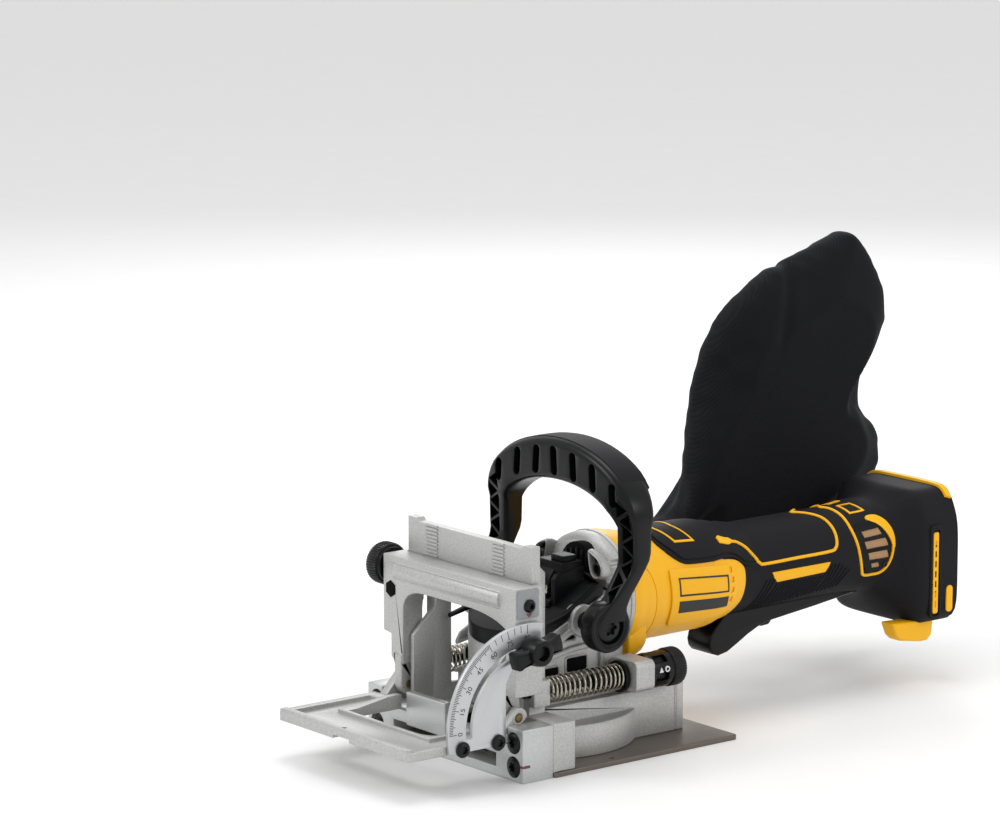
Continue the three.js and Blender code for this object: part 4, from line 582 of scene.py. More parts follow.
def bead(name, points, profile, r, material, side=1, closed=False, sink=0.45):
    """A raised round line on the case or grip, through (y, degrees) points."""
    flat = smooth_path([(y, a, 0) for y, a in (points if side > 0 else mirrored(points))], 8, closed)
    path = [on_axis(p.x, p.y, radius(profile, p.x, p.y) + r * (1 - 2 * sink)) for p in flat]
    return tube(name, path, r, material, 10, closed)


def torx(name, axis, at, place, out, r, material, body, *replaced, height=3.0):
    """A domed screw head with a six-lobed socket. place is its seat, and out is which way it faces, 1 or -1."""
    top = place + out * height
    profile = [(0, place - out * 1.0), (r * 0.96, place - out * 1.0), (r, place + out * 0.3),
            (r, place + out * height * 0.35),
               (r * 0.92, place + out * height * 0.62), (r * 0.72, place + out * height * 0.9),
               (r * 0.5, top, r * 0.05),
               (r * 0.45, top, r * 0.09), (r * 0.42, top - out * height * 0.15, r * 0.09),
               (r * 0.40, top - out * height * 0.7, r * 0.09), (0, top - out * height * 0.75)]
    if out < 0:
        profile = profile[::-1]
    obj = lathe(name, axis, profile, at, material, 48, 6, 28)
    return piece(obj, body, "black_steel", *replaced)


# ---------------------------------------------------------------- camera, light and floor
def stage():
    scene = bpy.context.scene
    data = bpy.data.cameras.new("camera")
    data.lens = 151.2
    data.sensor_width = 36.0
    data.clip_end = 30.0
    camera = bpy.data.objects.new("camera", data)
    camera.location = (1.93773, -1.57017, 0.66377)
    camera.rotation_euler = (math.radians(79.5), 0.0, math.radians(51.5))
    scene.collection.objects.link(camera)
    scene.camera = camera
    world = bpy.data.worlds.new("studio")
    world.use_nodes = True
    world.node_tree.nodes["Background"].inputs["Color"].default_value = (1.0, 1.0, 1.0, 1.0)
    world.node_tree.nodes["Background"].inputs["Strength"].default_value = 0.78
    scene.world = world
    scene.view_settings.view_transform = "Standard"
    aim = Vector((0.0, 0.08, 0.09))
    for name, where, power, size in (
            ("key_light", (-0.7, -1.5, 1.5), 11.0, 0.7),
            ("side_light", (1.7, 0.9, 1.1), 5.0, 0.6),
            ("top_light", (-0.3, 0.3, 1.9), 9.0, 0.9),
            ("back_light", (-1.4, 1.3, 1.0), 6.0, 0.7)):
        light = bpy.data.lights.new(name, "AREA")
        light.energy = power
        light.size = size
        obj = bpy.data.objects.new(name, light)
        obj.location = where
        obj.rotation_euler = (aim - Vector(where)).to_track_quat("-Z", "Y").to_euler()
        scene.collection.objects.link(obj)
    bm = bmesh.new()
    bmesh.ops.create_grid(bm, x_segments=8, y_segments=8, size=15000.0)
    floor = from_bmesh("floor", bm, surface("pale_floor", srgb(246, 246, 246), 0.0, 0.7, 0.3, 0.01, 300.0,
            0.01))


# ---------------------------------------------------------------- shoe
def shoe():
    dress("face_plate", MACHINED, 0.5)
    dress("base_casting", CAST, 0.7)
    plate = dress("bottom_plate", PLATE, 0.35)
    sinks = [lathe("sink", "z", [(0, 1.2), (2.3, 1.2), (3.9, 3.2), (0, 3.2)], (s * 70.5, 0), PAINTED_SHADE, 32)
            for s in (1, -1)]
    carved(plate, *sinks)
    dress("rack_plate", CAST, 0.0, angle=10)
    for side, s in (("near", 1), ("far", -1)):
        for i, where in enumerate(("lower", "upper")):
            node = "face_screw_%s_%s" % (side, where)
            z = (8.6, 23.2)[i]
            torx("look_" + node, "y", (s * 66.8, z), -70.2, -1, 5.9, BLACK_STEEL, "shoe", node, height=2.6)
        dress("guide_rod_" + side, BLACK_STEEL, 0.3)
        spring(side, s)
    # A short red line shows the cut's height on the near block.
    marks = [prism("mark", "x", round_rect((-71.9, -66.5), (9.2, 11.0), 0.8, 3), (75.6, 76.12), RED, 0.1),
             prism("mark", "y", round_rect((73.4, 75.9), (9.2, 11.0), 0.8, 3), (-72.12, -71.6), RED, 0.1)]
    teeth = []
    for x in (-36.5, 28.0):
        for i in range(16):
            z = 100.2 + 2.3 * i
            teeth.append(prism("tooth", "y", round_rect((x - 5.9, x + 5.9), (z - 0.72, z + 0.72), 0.5, 2),
                    (-53.4, -52.2), CAST, 0.25))
    piece(joined("rack_teeth", teeth), "shoe", "cast_aluminium")
    piece(joined("cut_height_mark", marks), "shoe", "machined_aluminium")
    rim = torus_lathe("guard_rim", "z", [(57.6, 21.2), (60.6, 21.2), (60.6, 22.5), (60.0, 22.9),
            (58.2, 22.9), (57.6, 22.5)],
                      (0, 0), CAST, 96)
    keep = prism("rim_keep", "z", [(46, -30), (80, -30), (80, 60), (46, 60)], (15, 30), CAST, 0)
    carved(rim, keep, operation="INTERSECT")
    piece(rim, "shoe", "cast_aluminium")


def spring(side, s):
    y0, y1, wire, mid = -33.7, 25.3, 0.8, 7.4
    turns, per_turn = 16, 28
    points = []
    count = turns * per_turn
    for i in range(count + 1):
        t = i / count
        # The end turns lie close together, as on a ground compression spring.
        ease = t + 0.028 * math.sin(2 * math.pi * t) * -1
        a = 2 * math.pi * turns * t
        points.append((s * 49 + mid * math.cos(a), y0 + wire + (y1 - y0 - 2 * wire) * ease,
                45.5 + mid * math.sin(a)))
    obj = tube("look_return_spring_" + side, points, wire, WIRE, 10)
    piece(obj, "shoe", "steel", "return_spring_" + side)
    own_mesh(obj)
    washer = torus_lathe("spring_washer_" + side, "y", [(5.2, 22.6), (9.6, 22.6), (10, 23.1), (10, 25.0),
            (9.6, 25.5), (5.2, 25.5)],
                         (s * 49, 45.5), BLACK, 48)
    piece(washer, "motor_unit", "black_plastic")


# ---------------------------------------------------------------- fence carrier, flap and quadrant
def fence():
    dress("fence_carrier", CAST, 0.7)
    # A thin near-black hexagon paints the shade inside the carrier's hexagonal recess.
    hexagon = [(-57 + 5.4 * math.cos(math.radians(60 * i + 30)),
            94 + 5.4 * math.sin(math.radians(60 * i + 30))) for i in range(6)]
    piece(prism("hex_recess_shade", "y", hexagon, (-68.8, -67.0), PAINTED_SHADE, 0.2), "carrier", "black_plastic")
    dress("pointer_window", CLEAR, 0.2)
    torx("look_pointer_screw", "x", (-59, 104), 65.5, 1, 4.0, BLACK_STEEL, "carrier", "pointer_screw",
            height=2.4)
    arrow = prism("pointer_mark", "x", [(-61.5, 99.6), (-56.5, 99.6), (-59, 96.9)], (65.5, 65.58), RED, 0)
    piece(arrow, "carrier", "clear_plastic")
    for side in ("near", "far"):
        dress("hinge_pin_" + side, BRASS, 0.3)
    dress("pinion_shaft", STEEL, 0.0)
    knob = lathe("look_height_knob", "x", [
        (0, -79.0), (8.0, -79.0), (11.0, -78.6), (12.4, -77.6, 0.2), (12.9, -76.4, 0.28),
        (12.9, -69.6, 0.28), (12.4, -68.4, 0.2),
        (11.2, -67.8), (11.0, -66.0), (0, -66.0)], (-59.5, 106), GLOSS, 240, 48)
    recess = lathe("knob_dish", "x", [(0, -80), (8.5, -80), (7.5, -78.0), (0, -78.0)], (-59.5, 106), GLOSS,
            48)
    carved(knob, recess)
    piece(knob, "height_drive", "black_plastic", "height_knob")
    dress("height_lock_lever", GLOSS, 0.9, 3)
    dress("fence_flap", CAST, 0.45)
    centre = prism("flap_centre_mark", "z", [(-2.0, -147), (2.0, -147), (0, -144.2)], (31.0, 31.06), RED, 0)
    piece(centre, "fence", "cast_aluminium")
    quadrant()
    for node, y in (("quadrant_screw_front", -111), ("quadrant_screw_rear", -84.5)):
        torx("look_" + node, "x", (y, 26), 68.4, 1, 4.8, BLACK_STEEL, "fence", node, height=2.1)
    tilt_knob()


def label(name, text, size, place, angle, material):
    """Generic figures as thin solid print on the quadrant's face. place is (y, z), and angle is in degrees."""
    curve = bpy.data.curves.new(name, "FONT")
    curve.body = text
    curve.size = size * MM
    curve.extrude = 0.03 * MM
    curve.align_x = "CENTER"
    curve.align_y = "CENTER"
    curve.resolution_u = 4
    holder = bpy.data.objects.new(name, curve)
    bpy.context.scene.collection.objects.link(holder)
    mesh = bpy.data.meshes.new_from_object(holder.evaluated_get(bpy.context.evaluated_depsgraph_get()))
    bpy.data.objects.remove(holder)
    bpy.data.curves.remove(curve)
    turn = Matrix.Rotation(math.radians(angle), 4, "X") @ Matrix(((0, 0, 1, 0), (1, 0, 0, 0), (0, 1, 0, 0),
            (0, 0, 0, 1)))
    mesh.transform(Matrix.Translation(Vector(place) * MM) @ turn)
    return link(name, mesh, material)


HINGE = (-62.5, 35.5)


def quadrant():
    dress("angle_quadrant", RING, 0.3)
    marks = []
    face = 68.3
    outer = 58.3
    for degrees in range(0, 91):
        if degrees > 60 and degrees % 5:
            continue
        length = 5.4 if degrees % 15 == 0 else 4.2 if degrees % 5 == 0 else 2.7
        a = math.radians(180 - degrees)
        d = Vector((math.cos(a), math.sin(a)))
        t = Vector((-d.y, d.x)) * 0.2
        mid = Vector(HINGE)
        p, q = mid + d * (outer - length), mid + d * outer
        marks.append(prism("tick", "x", [tuple(p - t), tuple(q - t), tuple(q + t), tuple(p + t)],
                (face, face + 0.05), PRINT, 0))
    for degrees in (0, 15, 30, 45, 60, 75, 90):
        a = 180 - degrees
        r = outer - 8.2
        at = (face + 0.03, HINGE[0] + r * math.cos(math.radians(a)),
                HINGE[1] + r * math.sin(math.radians(a)))
        marks.append(label("figure", str(degrees), 4.9, at, a - 90, PRINT))
    scale = joined("angle_scale", marks)
    piece(scale, "fence", "machined_aluminium")


def tilt_knob():
    at = (-62.5, 79.0)
    hub = lathe("knob_hub", "x", [(0, 68.6), (5.5, 68.6), (5.5, 71.2), (8.6, 71.6), (8.9, 73), (8.4, 80),
            (7.6, 83.2),
                                  (6.9, 83.6), (4.6, 83.6), (4.3, 83.0), (4.0, 78.5), (0, 78.5)], at, GLOSS,
                                  48)
    wing_outline = [(-15.4, 5.6), (-17.0, 4.4), (-17.4, 0), (-17.0, -4.4), (-15.4, -5.6), (-9, -4.4),
            (0, -5.4), (9, -4.4), (15.4, -5.6),
                    (17.0, -4.4), (17.4, 0), (17.0, 4.4), (15.4, 5.6), (9, 4.4), (0, 5.4), (-9, 4.4)]
    wing_outline = [(p.x, p.y) for p in smooth_path([(y, z, 0) for y, z in wing_outline], 3, True)]
    t = math.radians(14)
    turned = [(at[0] + y * math.cos(t) - z * math.sin(t), at[1] + y * math.sin(t) + z * math.cos(t)) for y,
            z in wing_outline]
    wing = prism("knob_wing", "x", turned, (71.8, 80.6), GLOSS, 1.3, 4)
    stud = lathe("knob_stud", "x", [(0, 57), (1.9, 57), (1.9, 69), (0, 69)], at, GLOSS, 24)
    piece(joined("look_tilt_knob", [hub, wing, stud]), "tilt_lock", "black_plastic", "tilt_knob")


# ---------------------------------------------------------------- gear head
def gear_head():
    housing = dress("gear_housing", CAST, 0.0)
    # The rear of the head is domed up to the case instead of stepped.
    dome = torus_lathe("dome_tool", "y", [(39.4, 46), (39.2, 40), (38.2, 35), (36.2, 31.5), (33.2, 28.4),
            (30.0, 26.6), (29.0, 20),
                                          (60, 20), (60, 46)], (0, AXIS_Z), CAST, 96)
    keep = prism("dome_keep", "y", [(-70, 99), (70, 99), (70, 140), (-70, 140)], (22, 50), CAST, 0)
    carved(dome, keep, operation="INTERSECT")
    carved(housing, dome)
    rounded(housing, 0.7, 2)
    for side, s in (("near", 1), ("far", -1)):
        leaf(side, s)
        ribs(side, s)
        handle_spacer(side, s)
        dress("spring_sleeve_" + side, BLACK, 0.25)
    cover()
    button = prism("look_spindle_lock_button", "z", round_rect((5.5, 18.0), (5.6, 16.6), 1.5, 4),
            (112.4, 116.6), BLACK, 0.7, 3)
    piece(button, "spindle_lock", "black_steel", "spindle_lock_button")
    # A near-black half-disc behind the fins paints the shade in the head's rear recess.
    recess = [(-9, 104), (23, 104)] + arc((7, 106), 15.4, 0, 180, 14)
    piece(prism("head_recess_shade", "y", recess, (25.2, 33.0), PAINTED_SHADE, 0.5), "motor_unit", "black_plastic")
    fins = [prism("fin", "y", round_rect((-3 + i * 5.0, -1 + i * 5.0), (108, 118.5 - 1.1 * abs(i - 2)), 0.8,
            3), (24.2, 26.5), BLACK, 0.3)
            for i in range(5)]
    piece(joined("recess_fins", fins), "motor_unit", "black_plastic")
    for node, material in (("spindle", STEEL), ("blade", STEEL), ("clamp_nut", STEEL),
            ("spindle_bearing", STEEL), ("bevel_gear", STEEL),
                           ("rotor", STEEL), ("stator", COPPER), ("fan", BLACK), ("front_bearing", STEEL),
                           ("rear_bearing", STEEL),
                           ("control_module", BLACK), ("terminal_block", BLACK)):
        frame["nodes"][node].data.materials.clear()
        frame["nodes"][node].data.materials.append(material)


def leaf(side, s):
    """A pointed lobe on the head's dome with a deep pocket round its screw, whose floor is a near-black sheet of
    painted shade.
    """
    outline = [(19.5, 119.0), (24.0, 117.8), (28.6, 115.6), (32.2, 112.0), (33.6, 108.0), (32.6, 104.0),
            (29.2, 101.6),
               (25.4, 101.8), (22.6, 104.2), (21.0, 108.0), (20.0, 112.6)]
    fine = smooth_path([(x, z, 0) for x, z in outline], 5, True)

    def ring(k, y, pull=0.0):
        return [Vector((s * (27.0 - 7 * pull + (p.x - 27.0) * k), y, 108.5 - 8 * pull + (p.y - 108.5) * k))
                for p in fine]

    lobe = loft("screw_lobe_" + side, [ring(0.6, 42, 1.0), ring(0.82, 37, 0.62), ring(0.95, 32, 0.28),
            ring(1.0, 27.5, 0.05), ring(0.98, 24.6),
                                       ring(0.93, 23.5), ring(0.86, 23.1), ring(0.81, 23.5),
                                       ring(0.78, 24.4), ring(0.76, 28.6)], CAST)
    piece(lobe, "motor_unit", "cast_aluminium")
    # The pocket's floor is near-black, painted shade for its depth.
    piece(loft("lobe_floor_shade_" + side, [ring(0.78, 28.1), ring(0.70, 28.0), ring(0.5, 27.2), ring(0.3, 27.0)],
            PAINTED_SHADE), "motor_unit", "cast_aluminium")
    torx("look_housing_screw_" + side, "y", (s * 27, 108), 27.2, -1, 4.6, BLACK_STEEL, "motor_unit",
            "housing_screw_" + side)


def handle_spacer(side, s):
    span = [(5.0, 40.4), (6.0, 40.4), (6.0, 53.0), (5.0, 53.0)]
    ring = torus_lathe("handle_spacer_" + side, "x", [(r, s * x) for r, x in span], (4.5, 81), BLACK, 40)
    piece(ring, "motor_unit", "black_plastic")


def ribs(side, s):
    """The ribs and pockets of the gear head's side; the pockets are flat near-black plates of painted shade."""
    parts = []
    x = (36.6, 39.2) if s > 0 else (-39.2, -36.6)
    diagonal = [(-33, 60), (-30, 64.8), (2, 81.5), (17, 92.8), (20, 92.8), (20, 88.5), (3, 77.4), (-26, 62)]
    level = [(-33, 57.5), (-33, 60.5), (-4, 66), (22, 67), (22, 64), (-4, 62.8)]
    foot = [(-34, 40), (-34, 43), (22, 46.5), (22, 43)]
    post = [(18, 44), (18, 90), (22, 90), (22, 44)]
    for i, shape in enumerate((diagonal, level, foot, post)):
        parts.append(prism("rib%d" % i, "x", shape, x, CAST, 0.8, 3))
    # The pockets are not cut: flat near-black plates of painted shade sit inside raised lips.
    dark = []
    for i, shape in enumerate((round_rect((-14, 0), (69.5, 73.5), 1.9), round_rect((-8, 9), (49.5, 59.5),
            2.0), round_rect((-27, -13), (47, 55.5), 2.0))):
        dark.append(prism("dark%d" % i, "x", shape, (36.6, 37.1) if s > 0 else (-37.1, -36.6), PAINTED_SHADE, 0.1))
        edge = [(0, *p) for p in shape]
        parts.append(tube("lip", [(s * 37.2, p[1], p[2]) for p in edge], 0.75, CAST, 8, True))
    piece(joined("side_ribs_" + side, parts), "motor_unit", "cast_aluminium")
    piece(joined("side_pocket_shade_" + side, dark), "motor_unit", "cast_aluminium")


def cover():
    dress("gear_cover", BLACK, 0.6, 3)
    parts = [
        prism("block", "x", [(-2, 97.5), (0, 104.5), (3, 108.5), (16, 111.8), (20, 111.8), (20, 97.5)],
        (-5, 13), BLACK, 0.7, 3),
        prism("wall", "x", [(-3.5, 86), (-3.5, 104), (-1, 107), (20, 109.5), (20, 90)], (17.4, 21), BLACK,
        0.6, 3),
        prism("ledge", "y", round_rect((-8, -5.4), (88, 111), 0.8, 2), (-1, 14), BLACK, 0.4),
        prism("sill", "x", [(-6, 86.5), (-6, 90.5), (2, 93), (2, 88)], (-4, 18), BLACK, 0.5),
    ]
    box = joined("cover_box", parts)
    carved(box, prism("button_well", "z", round_rect((4.9, 18.6), (5.0, 17.2), 1.8, 4), (107.5, 114), BLACK,
            0))
    piece(box, "motor_unit", "black_plastic")
    tab = prism("box_tab", "y", round_rect((5, 13.5), (93.6, 99.2), 0.8, 3), (-3.4, -1.8), STEEL, 0.4)
    piece(tab, "motor_unit", "steel")
    lip = []
    for s in (1, -1):
        edge = [(-40.5, 75.8), (-40, 78.2), (-8, 86.6), (17, 100.8), (21, 100.8), (21, 96.5), (-6, 82.6)]
        lip.append(prism("lip", "x", edge, (34.0, 37.4) if s > 0 else (-37.4, -34.0), BLACK, 0.8, 3))
    piece(joined("cover_lip", lip), "motor_unit", "black_plastic")


# ---------------------------------------------------------------- motor case
def motor_case():
    rings = []
    for i in range(31):
        y = 45.3 + (122.3 - 45.3) * i / 30
        rings.append((radius(CASE, y), y))
    rings[0] = (38.2, 45.3)
    rings.insert(1, (38.9, 45.9))
    shell = lathe("look_motor_case", "y", [(0, 45.3)] + rings + [(0, 122.3)], (0, AXIS_Z), YELLOW, 96)
    piece(shell, "motor_unit", "yellow_plastic", "motor_case")
    foot = prism("case_foot", "y", [(-33, 64), (33, 64), (33, 52), (29, 46.5), (-29, 46.5), (-33, 52)],
            (45.5, 60), YELLOW, 1.6, 4)
    for v in foot.data.vertices:
        v.co.z += max(0.0, v.co.y / MM - 52) * 0.9 * MM
    piece(foot, "motor_unit", "yellow_plastic")
    band = torus_lathe("case_band", "y", [(36, 42.6), (39.3, 42.6), (39.5, 43.0), (39.5, 44.8),
            (39.2, 45.2), (36, 45.2)],
                       (0, AXIS_Z), CAST, 96)
    piece(band, "motor_unit", "cast_aluminium")
    for side, s in (("near", 1), ("far", -1)):
        panel = smooth_path([(78, 21, 0), (82, 24.5, 0), (104, 22, 0), (127, 19, 0), (132, 14, 0),
                (134, -10, 0), (135, -32, 0),
                             (131, -38, 0), (106, -39, 0), (85, -39, 0), (80, -35, 0), (78.5, -8, 0)], 4,
                             True)
        panel = [(p.x, p.y) for p in panel]
        raised = wrap("raised_panel_" + side, panel, CASE_TO_TONGUE, -0.6, 1.4, YELLOW, s, 0.6)
        pits = []
        for y, a in ((128.0, 14.0), (129.6, 3.0), (130.0, -8.5), (129.6, -19.0)):
            pits.append(wrap("pit", [(y - 1.6, a - 3.2), (y + 1.6, a - 3.2), (y + 1.6, a + 3.2),
                    (y - 1.6, a + 3.2)],
                             CASE_TO_TONGUE, 0.5, 2.6, YELLOW, s, 0))
        carved(raised, *pits)
        piece(raised, "motor_unit", "yellow_plastic")
        plate = wrap("panel_frame_" + side, [(84, 15), (125, 9.5), (126, -9), (84.5, -4)], CASE_TO_TONGUE,
                0.6, 1.6, PRINT, s, 0)
        middle = wrap("panel_middle", [(85.2, 13.2), (124.0, 7.7), (124.9, -7.2), (85.6, -2.2)],
                CASE_TO_TONGUE, 0.1, 2.9, PRINT, s, 0)
        carved(plate, middle)
        piece(plate, "motor_unit", "black_plastic")
        plain = wrap("label_plate_" + side, [(84.6, -9), (126.2, -14), (126.8, -26), (85.2, -22)],
                CASE_TO_TONGUE, 0.6, 1.65, PRINT, s, 0)
        piece(plain, "motor_unit", "black_plastic")
        tongue = smooth_path([(116, 25, 0), (126, 26, 0), (133, 25.5, 0), (139, 21.5, 0), (143.4, 14, 0),
                (144.4, 0, 0), (144.4, -14, 0),
                              (143.6, -34, 0), (139, -50, 0), (131, -64, 0), (126, -74, 0), (118, -80, 0),
                              (116.5, -30, 0)], 4, True)
        tongue = wrap("case_tongue_" + side, [(p.x, p.y) for p in tongue], CASE_TO_TONGUE, -2.5, 0.1,
                YELLOW, s, 0.7)
        piece(tongue, "motor_unit", "yellow_plastic")
        seam = bead("case_seam_" + side, [(58, 34), (63, 20), (65.5, 0), (65.5, -30), (62, -55)], CASE,
                0.35, LINE_YELLOW, s, False, 0.3)
        piece(seam, "motor_unit", "yellow_plastic")


CASE_TO_TONGUE = [(45.3, 39.0), (50, 38.8), (58, 37.2), (68, 35.6), (80, 34.2), (116, 34.0), (124, 33.4),
        (134, 31.2), (146, 29.0), (156, 27.3)]


def overmould():
    """The soft black cap that runs forward over the top of the yellow case."""
    half = [(81, 90), (78.6, 74), (78.2, 57.5), (81.5, 45.0), (86, 35.5), (91.5, 29.0), (98, 26.8),
            (114.5, 25.6), (124, 27.0),
            (131, 27.6), (137, 24.5), (144, 16.0), (150, 14.0), (156, 14.0)]

    def cap(grow):
        ahead = smooth_path([(y + 1.2 * grow if y < 90 else y, a + 3.0 * grow, 0) for y, a in half], 4)
        near = [(p.x, min(90.0, p.y)) for p in ahead]
        return near + [(y, 180 - a) for y, a in reversed(near[1:])]

    patch = wrap("case_overmould", cap(0.0), CASE_TO_TONGUE, -1.0, 1.0, SOFT, 1, 0.6)
    piece(patch, "motor_unit", "grip_plastic")
    upper = wrap("case_overmould_top", cap(1.6), CASE_TO_TONGUE, 0.6, 1.9, SOFT, 1, 0.5)
    piece(upper, "motor_unit", "grip_plastic")
    return patch, upper


# ---------------------------------------------------------------- rear grip and battery dock
def cap_frame(skin):
    """A narrow yellow frame on top of the cap, with a plain middle."""
    frame_line = [(86.5, 112), (85.5, 79), (91.0, 52), (106.5, 50.0), (101.5, 79), (102.0, 112)]
    inside = [(87.8, 109.5), (87.0, 79.2), (92.0, 54.6), (104.8, 52.8), (100.1, 79), (100.6, 109.5)]
    bar = wrap("cap_frame", frame_line, skin, -0.2, 0.45, LINE_YELLOW, 1, 0.15)
    carved(bar, wrap("cap_middle", inside, skin, -1.0, 2.0, LINE_YELLOW, 1, 0))
    piece(bar, "motor_unit", "yellow_plastic")


def outline_radius(degrees):
    """How far the dock's wall is from the axis: a box with its corners cut off and rounded."""
    a = math.radians(degrees)
    c, s = abs(math.cos(a)), math.sin(a)
    walls = ((1.0, 0.0, 44.0), (0.0, 1.0, 38.0), (0.0, -1.0, 51.0), (0.875, 0.484, 47.7),
            (0.759, -0.651, 62.0))
    reach = sum(max(0.0, (c * x + s * z) / d) ** 18 for x, z, d in walls)
    return reach ** (-1 / 18)


def bell(y, n=96):
    """A section of the grip as it opens into the battery dock, sooner underneath than on top."""
    points = []
    for i in range(n):
        degrees = 360.0 * i / n
        s = math.sin(math.radians(degrees))
        begin = 270.5 + 12.0 * min(0.0, s) - 1.5 * max(0.0, s)
        t = min(1.0, max(0.0, (y - begin) / (289.0 - begin)))
        t = t * t * (3 - 2 * t)
        r = radius(GRIP, y) * (1 - t) + outline_radius(degrees) * t
        points.append(on_axis(y, degrees, r))
    return points


def rear_grip():
    stations = [118.0 + 4.9 * i for i in range(26)] + [245.0 + 2.5 * i for i in range(19)] + [294.0, 300.0,
            307.0, 313.2]
    body = loft("look_handle_shells", [bell(y) for y in stations], SOFT)
    skin = Skin(body)
    bay = prism("bay", "y", round_rect((-33, 33), (38, 112), 3, 3), (296, 330), SOFT, 0)
    mouth = prism("mouth", "y", [(-29, 20), (29, 20), (29, 60), (-29, 60)], (296, 330), SOFT, 0)
    well = prism("well", "z", round_rect((-12.3, 12.3), (127, 258), 4, 4), (40, 69), SOFT, 0)
    carved(body, bay, mouth, well)
    piece(body, "motor_unit", "grip_plastic", "handle_shell_near", "handle_shell_far")
    rails = [prism("rail", "z", [(s * 34, 303), (s * 29, 303), (s * 29, 307), (s * 34, 307)], (44, 107),
            BLACK, 0.5) for s in (1, -1)]
    piece(joined("dock_rails", rails), "motor_unit", "grip_plastic")
    return skin


def grip_details(skin):
    dock_trim(skin)
    for side, s in (("near", 1), ("far", -1)):
        inlays(side, s, skin)
        vent(side, s, skin)
        flank(side, s)


def dock_trim(skin):
    """The rear frame of the dock, the yellow line over its top and the foot under it."""
    edge = []
    for i in range(72):
        p = on_axis(0, 5.0 * i, outline_radius(5.0 * i) - 0.5)
        edge.append((p.x, p.z))
    back = prism("look_dock_bumper", "y", edge, (312.9, 315.9), SOFT, 1.1, 3)
    bay = prism("bay", "y", round_rect((-33, 33), (38, 112), 3, 3), (300, 330), SOFT, 0)
    mouth = prism("mouth", "y", [(-29, 20), (29, 20), (29, 60), (-29, 60)], (300, 330), SOFT, 0)
    carved(back, bay, mouth)
    piece(back, "motor_unit", "yellow_plastic", "dock_bumper")
    line = wrap("dock_line", [(308.6, 41), (313.0, 39), (313.0, 141), (308.6, 139)], skin, -0.5, 1.9,
            LINE_YELLOW, 1, 0.6, 3.0)
    piece(line, "motor_unit", "yellow_plastic")
    foot = [(264, 40), (268, 31), (272, 27.6), (290, 24.6), (296, 24.6), (299.5, 28), (301, 38)]
    piece(prism("dock_foot", "x", foot, (25, 37), LINE_YELLOW, 1.6, 4), "motor_unit", "yellow_plastic")


def inlays(side, s, skin):
    tab = [(124.5, 50.5), (127, 53), (135.5, 50), (138.5, 46.5), (137, 43.5), (133.5, 41.5), (125, 43.5)]
    piece(wrap("grip_tab_" + side, tab, skin, -0.5, 0.7, LINE_YELLOW, s, 0.3), "motor_unit",
            "yellow_plastic")
    line = [(136, 45), (141, 44.5), (146, 39), (151, 28), (157, 15.5), (162, 12.8), (190, 13.2),
            (216, 13.6), (222.0, 16.5), (224.6, 27),
            (225.2, 44), (223, 62), (217, 76), (208, 90)]
    piece(bead("grip_line_" + side, line, skin, 1.05, LINE_YELLOW, s), "motor_unit", "yellow_plastic")
    loop = [(233, 90), (236.6, 80), (238.8, 60), (239.4, 38), (241, 16), (242.8, -3), (246, -22),
            (248.4, -27.0), (253, -27.8), (260.5, -25),
            (265.6, -17), (268.6, -4), (269.8, 10), (269.4, 22)]
    piece(bead("vent_line_" + side, loop, skin, 1.05, LINE_YELLOW, s), "motor_unit", "yellow_plastic")
    cap = [(255.5, 50.5), (262.0, 49), (267.0, 42.5), (270.0, 33), (271.2, 20), (270.8, 6), (269.2, 6),
            (267.6, 16), (264.8, 26), (260.6, 36), (254.8, 44.5)]
    cap = [(p.x, p.y) for p in smooth_path([(y, a, 0) for y, a in cap], 4, True)]
    piece(wrap("vent_cap_" + side, cap, skin, -0.6, 1.0, LINE_YELLOW, s, 0.3, 3.0), "motor_unit",
            "yellow_plastic")
    bar = [(167, 0.4), (216.4, 0.4), (215.4, -4), (212.4, -11.8), (171.6, -13.4), (169, -8)]
    piece(wrap("grip_bar_" + side, bar, skin, -0.5, 0.7, LINE_YELLOW, s, 0.4), "motor_unit",
            "yellow_plastic")
    ridges = []
    for i in range(24):
        y = 160.0 + i * 3.1
        low = -60 + 0.9 * i
        if y < 168:
            top = -9.0
        elif y < 211:
            top = -17.0
        else:
            top = -4.5 - max(0.0, y - 222) * 1.2
        path = [(y - 3.5 + 7.0 * (t / 5) ** 1.5, low + (top - low) * t / 5) for t in range(6)]
        ridges.append(bead("ridge", path, skin, 0.85, SOFT, s, False, 0.5))
    piece(joined("grip_ridges_" + side, ridges), "motor_unit", "grip_plastic")
    badge = wrap("grip_badge_frame_" + side, [(244.5, 84), (255.0, 82), (258.0, 59), (246.0, 60)], skin,
            -0.3, 0.55, LINE_YELLOW, s, 0.15)
    carved(badge, wrap("badge_middle", [(245.8, 81.4), (254.2, 79.8), (256.6, 61.6), (247.2, 62.4)], skin,
            -1.0, 2.0, LINE_YELLOW, s, 0))
    piece(badge, "motor_unit", "yellow_plastic")


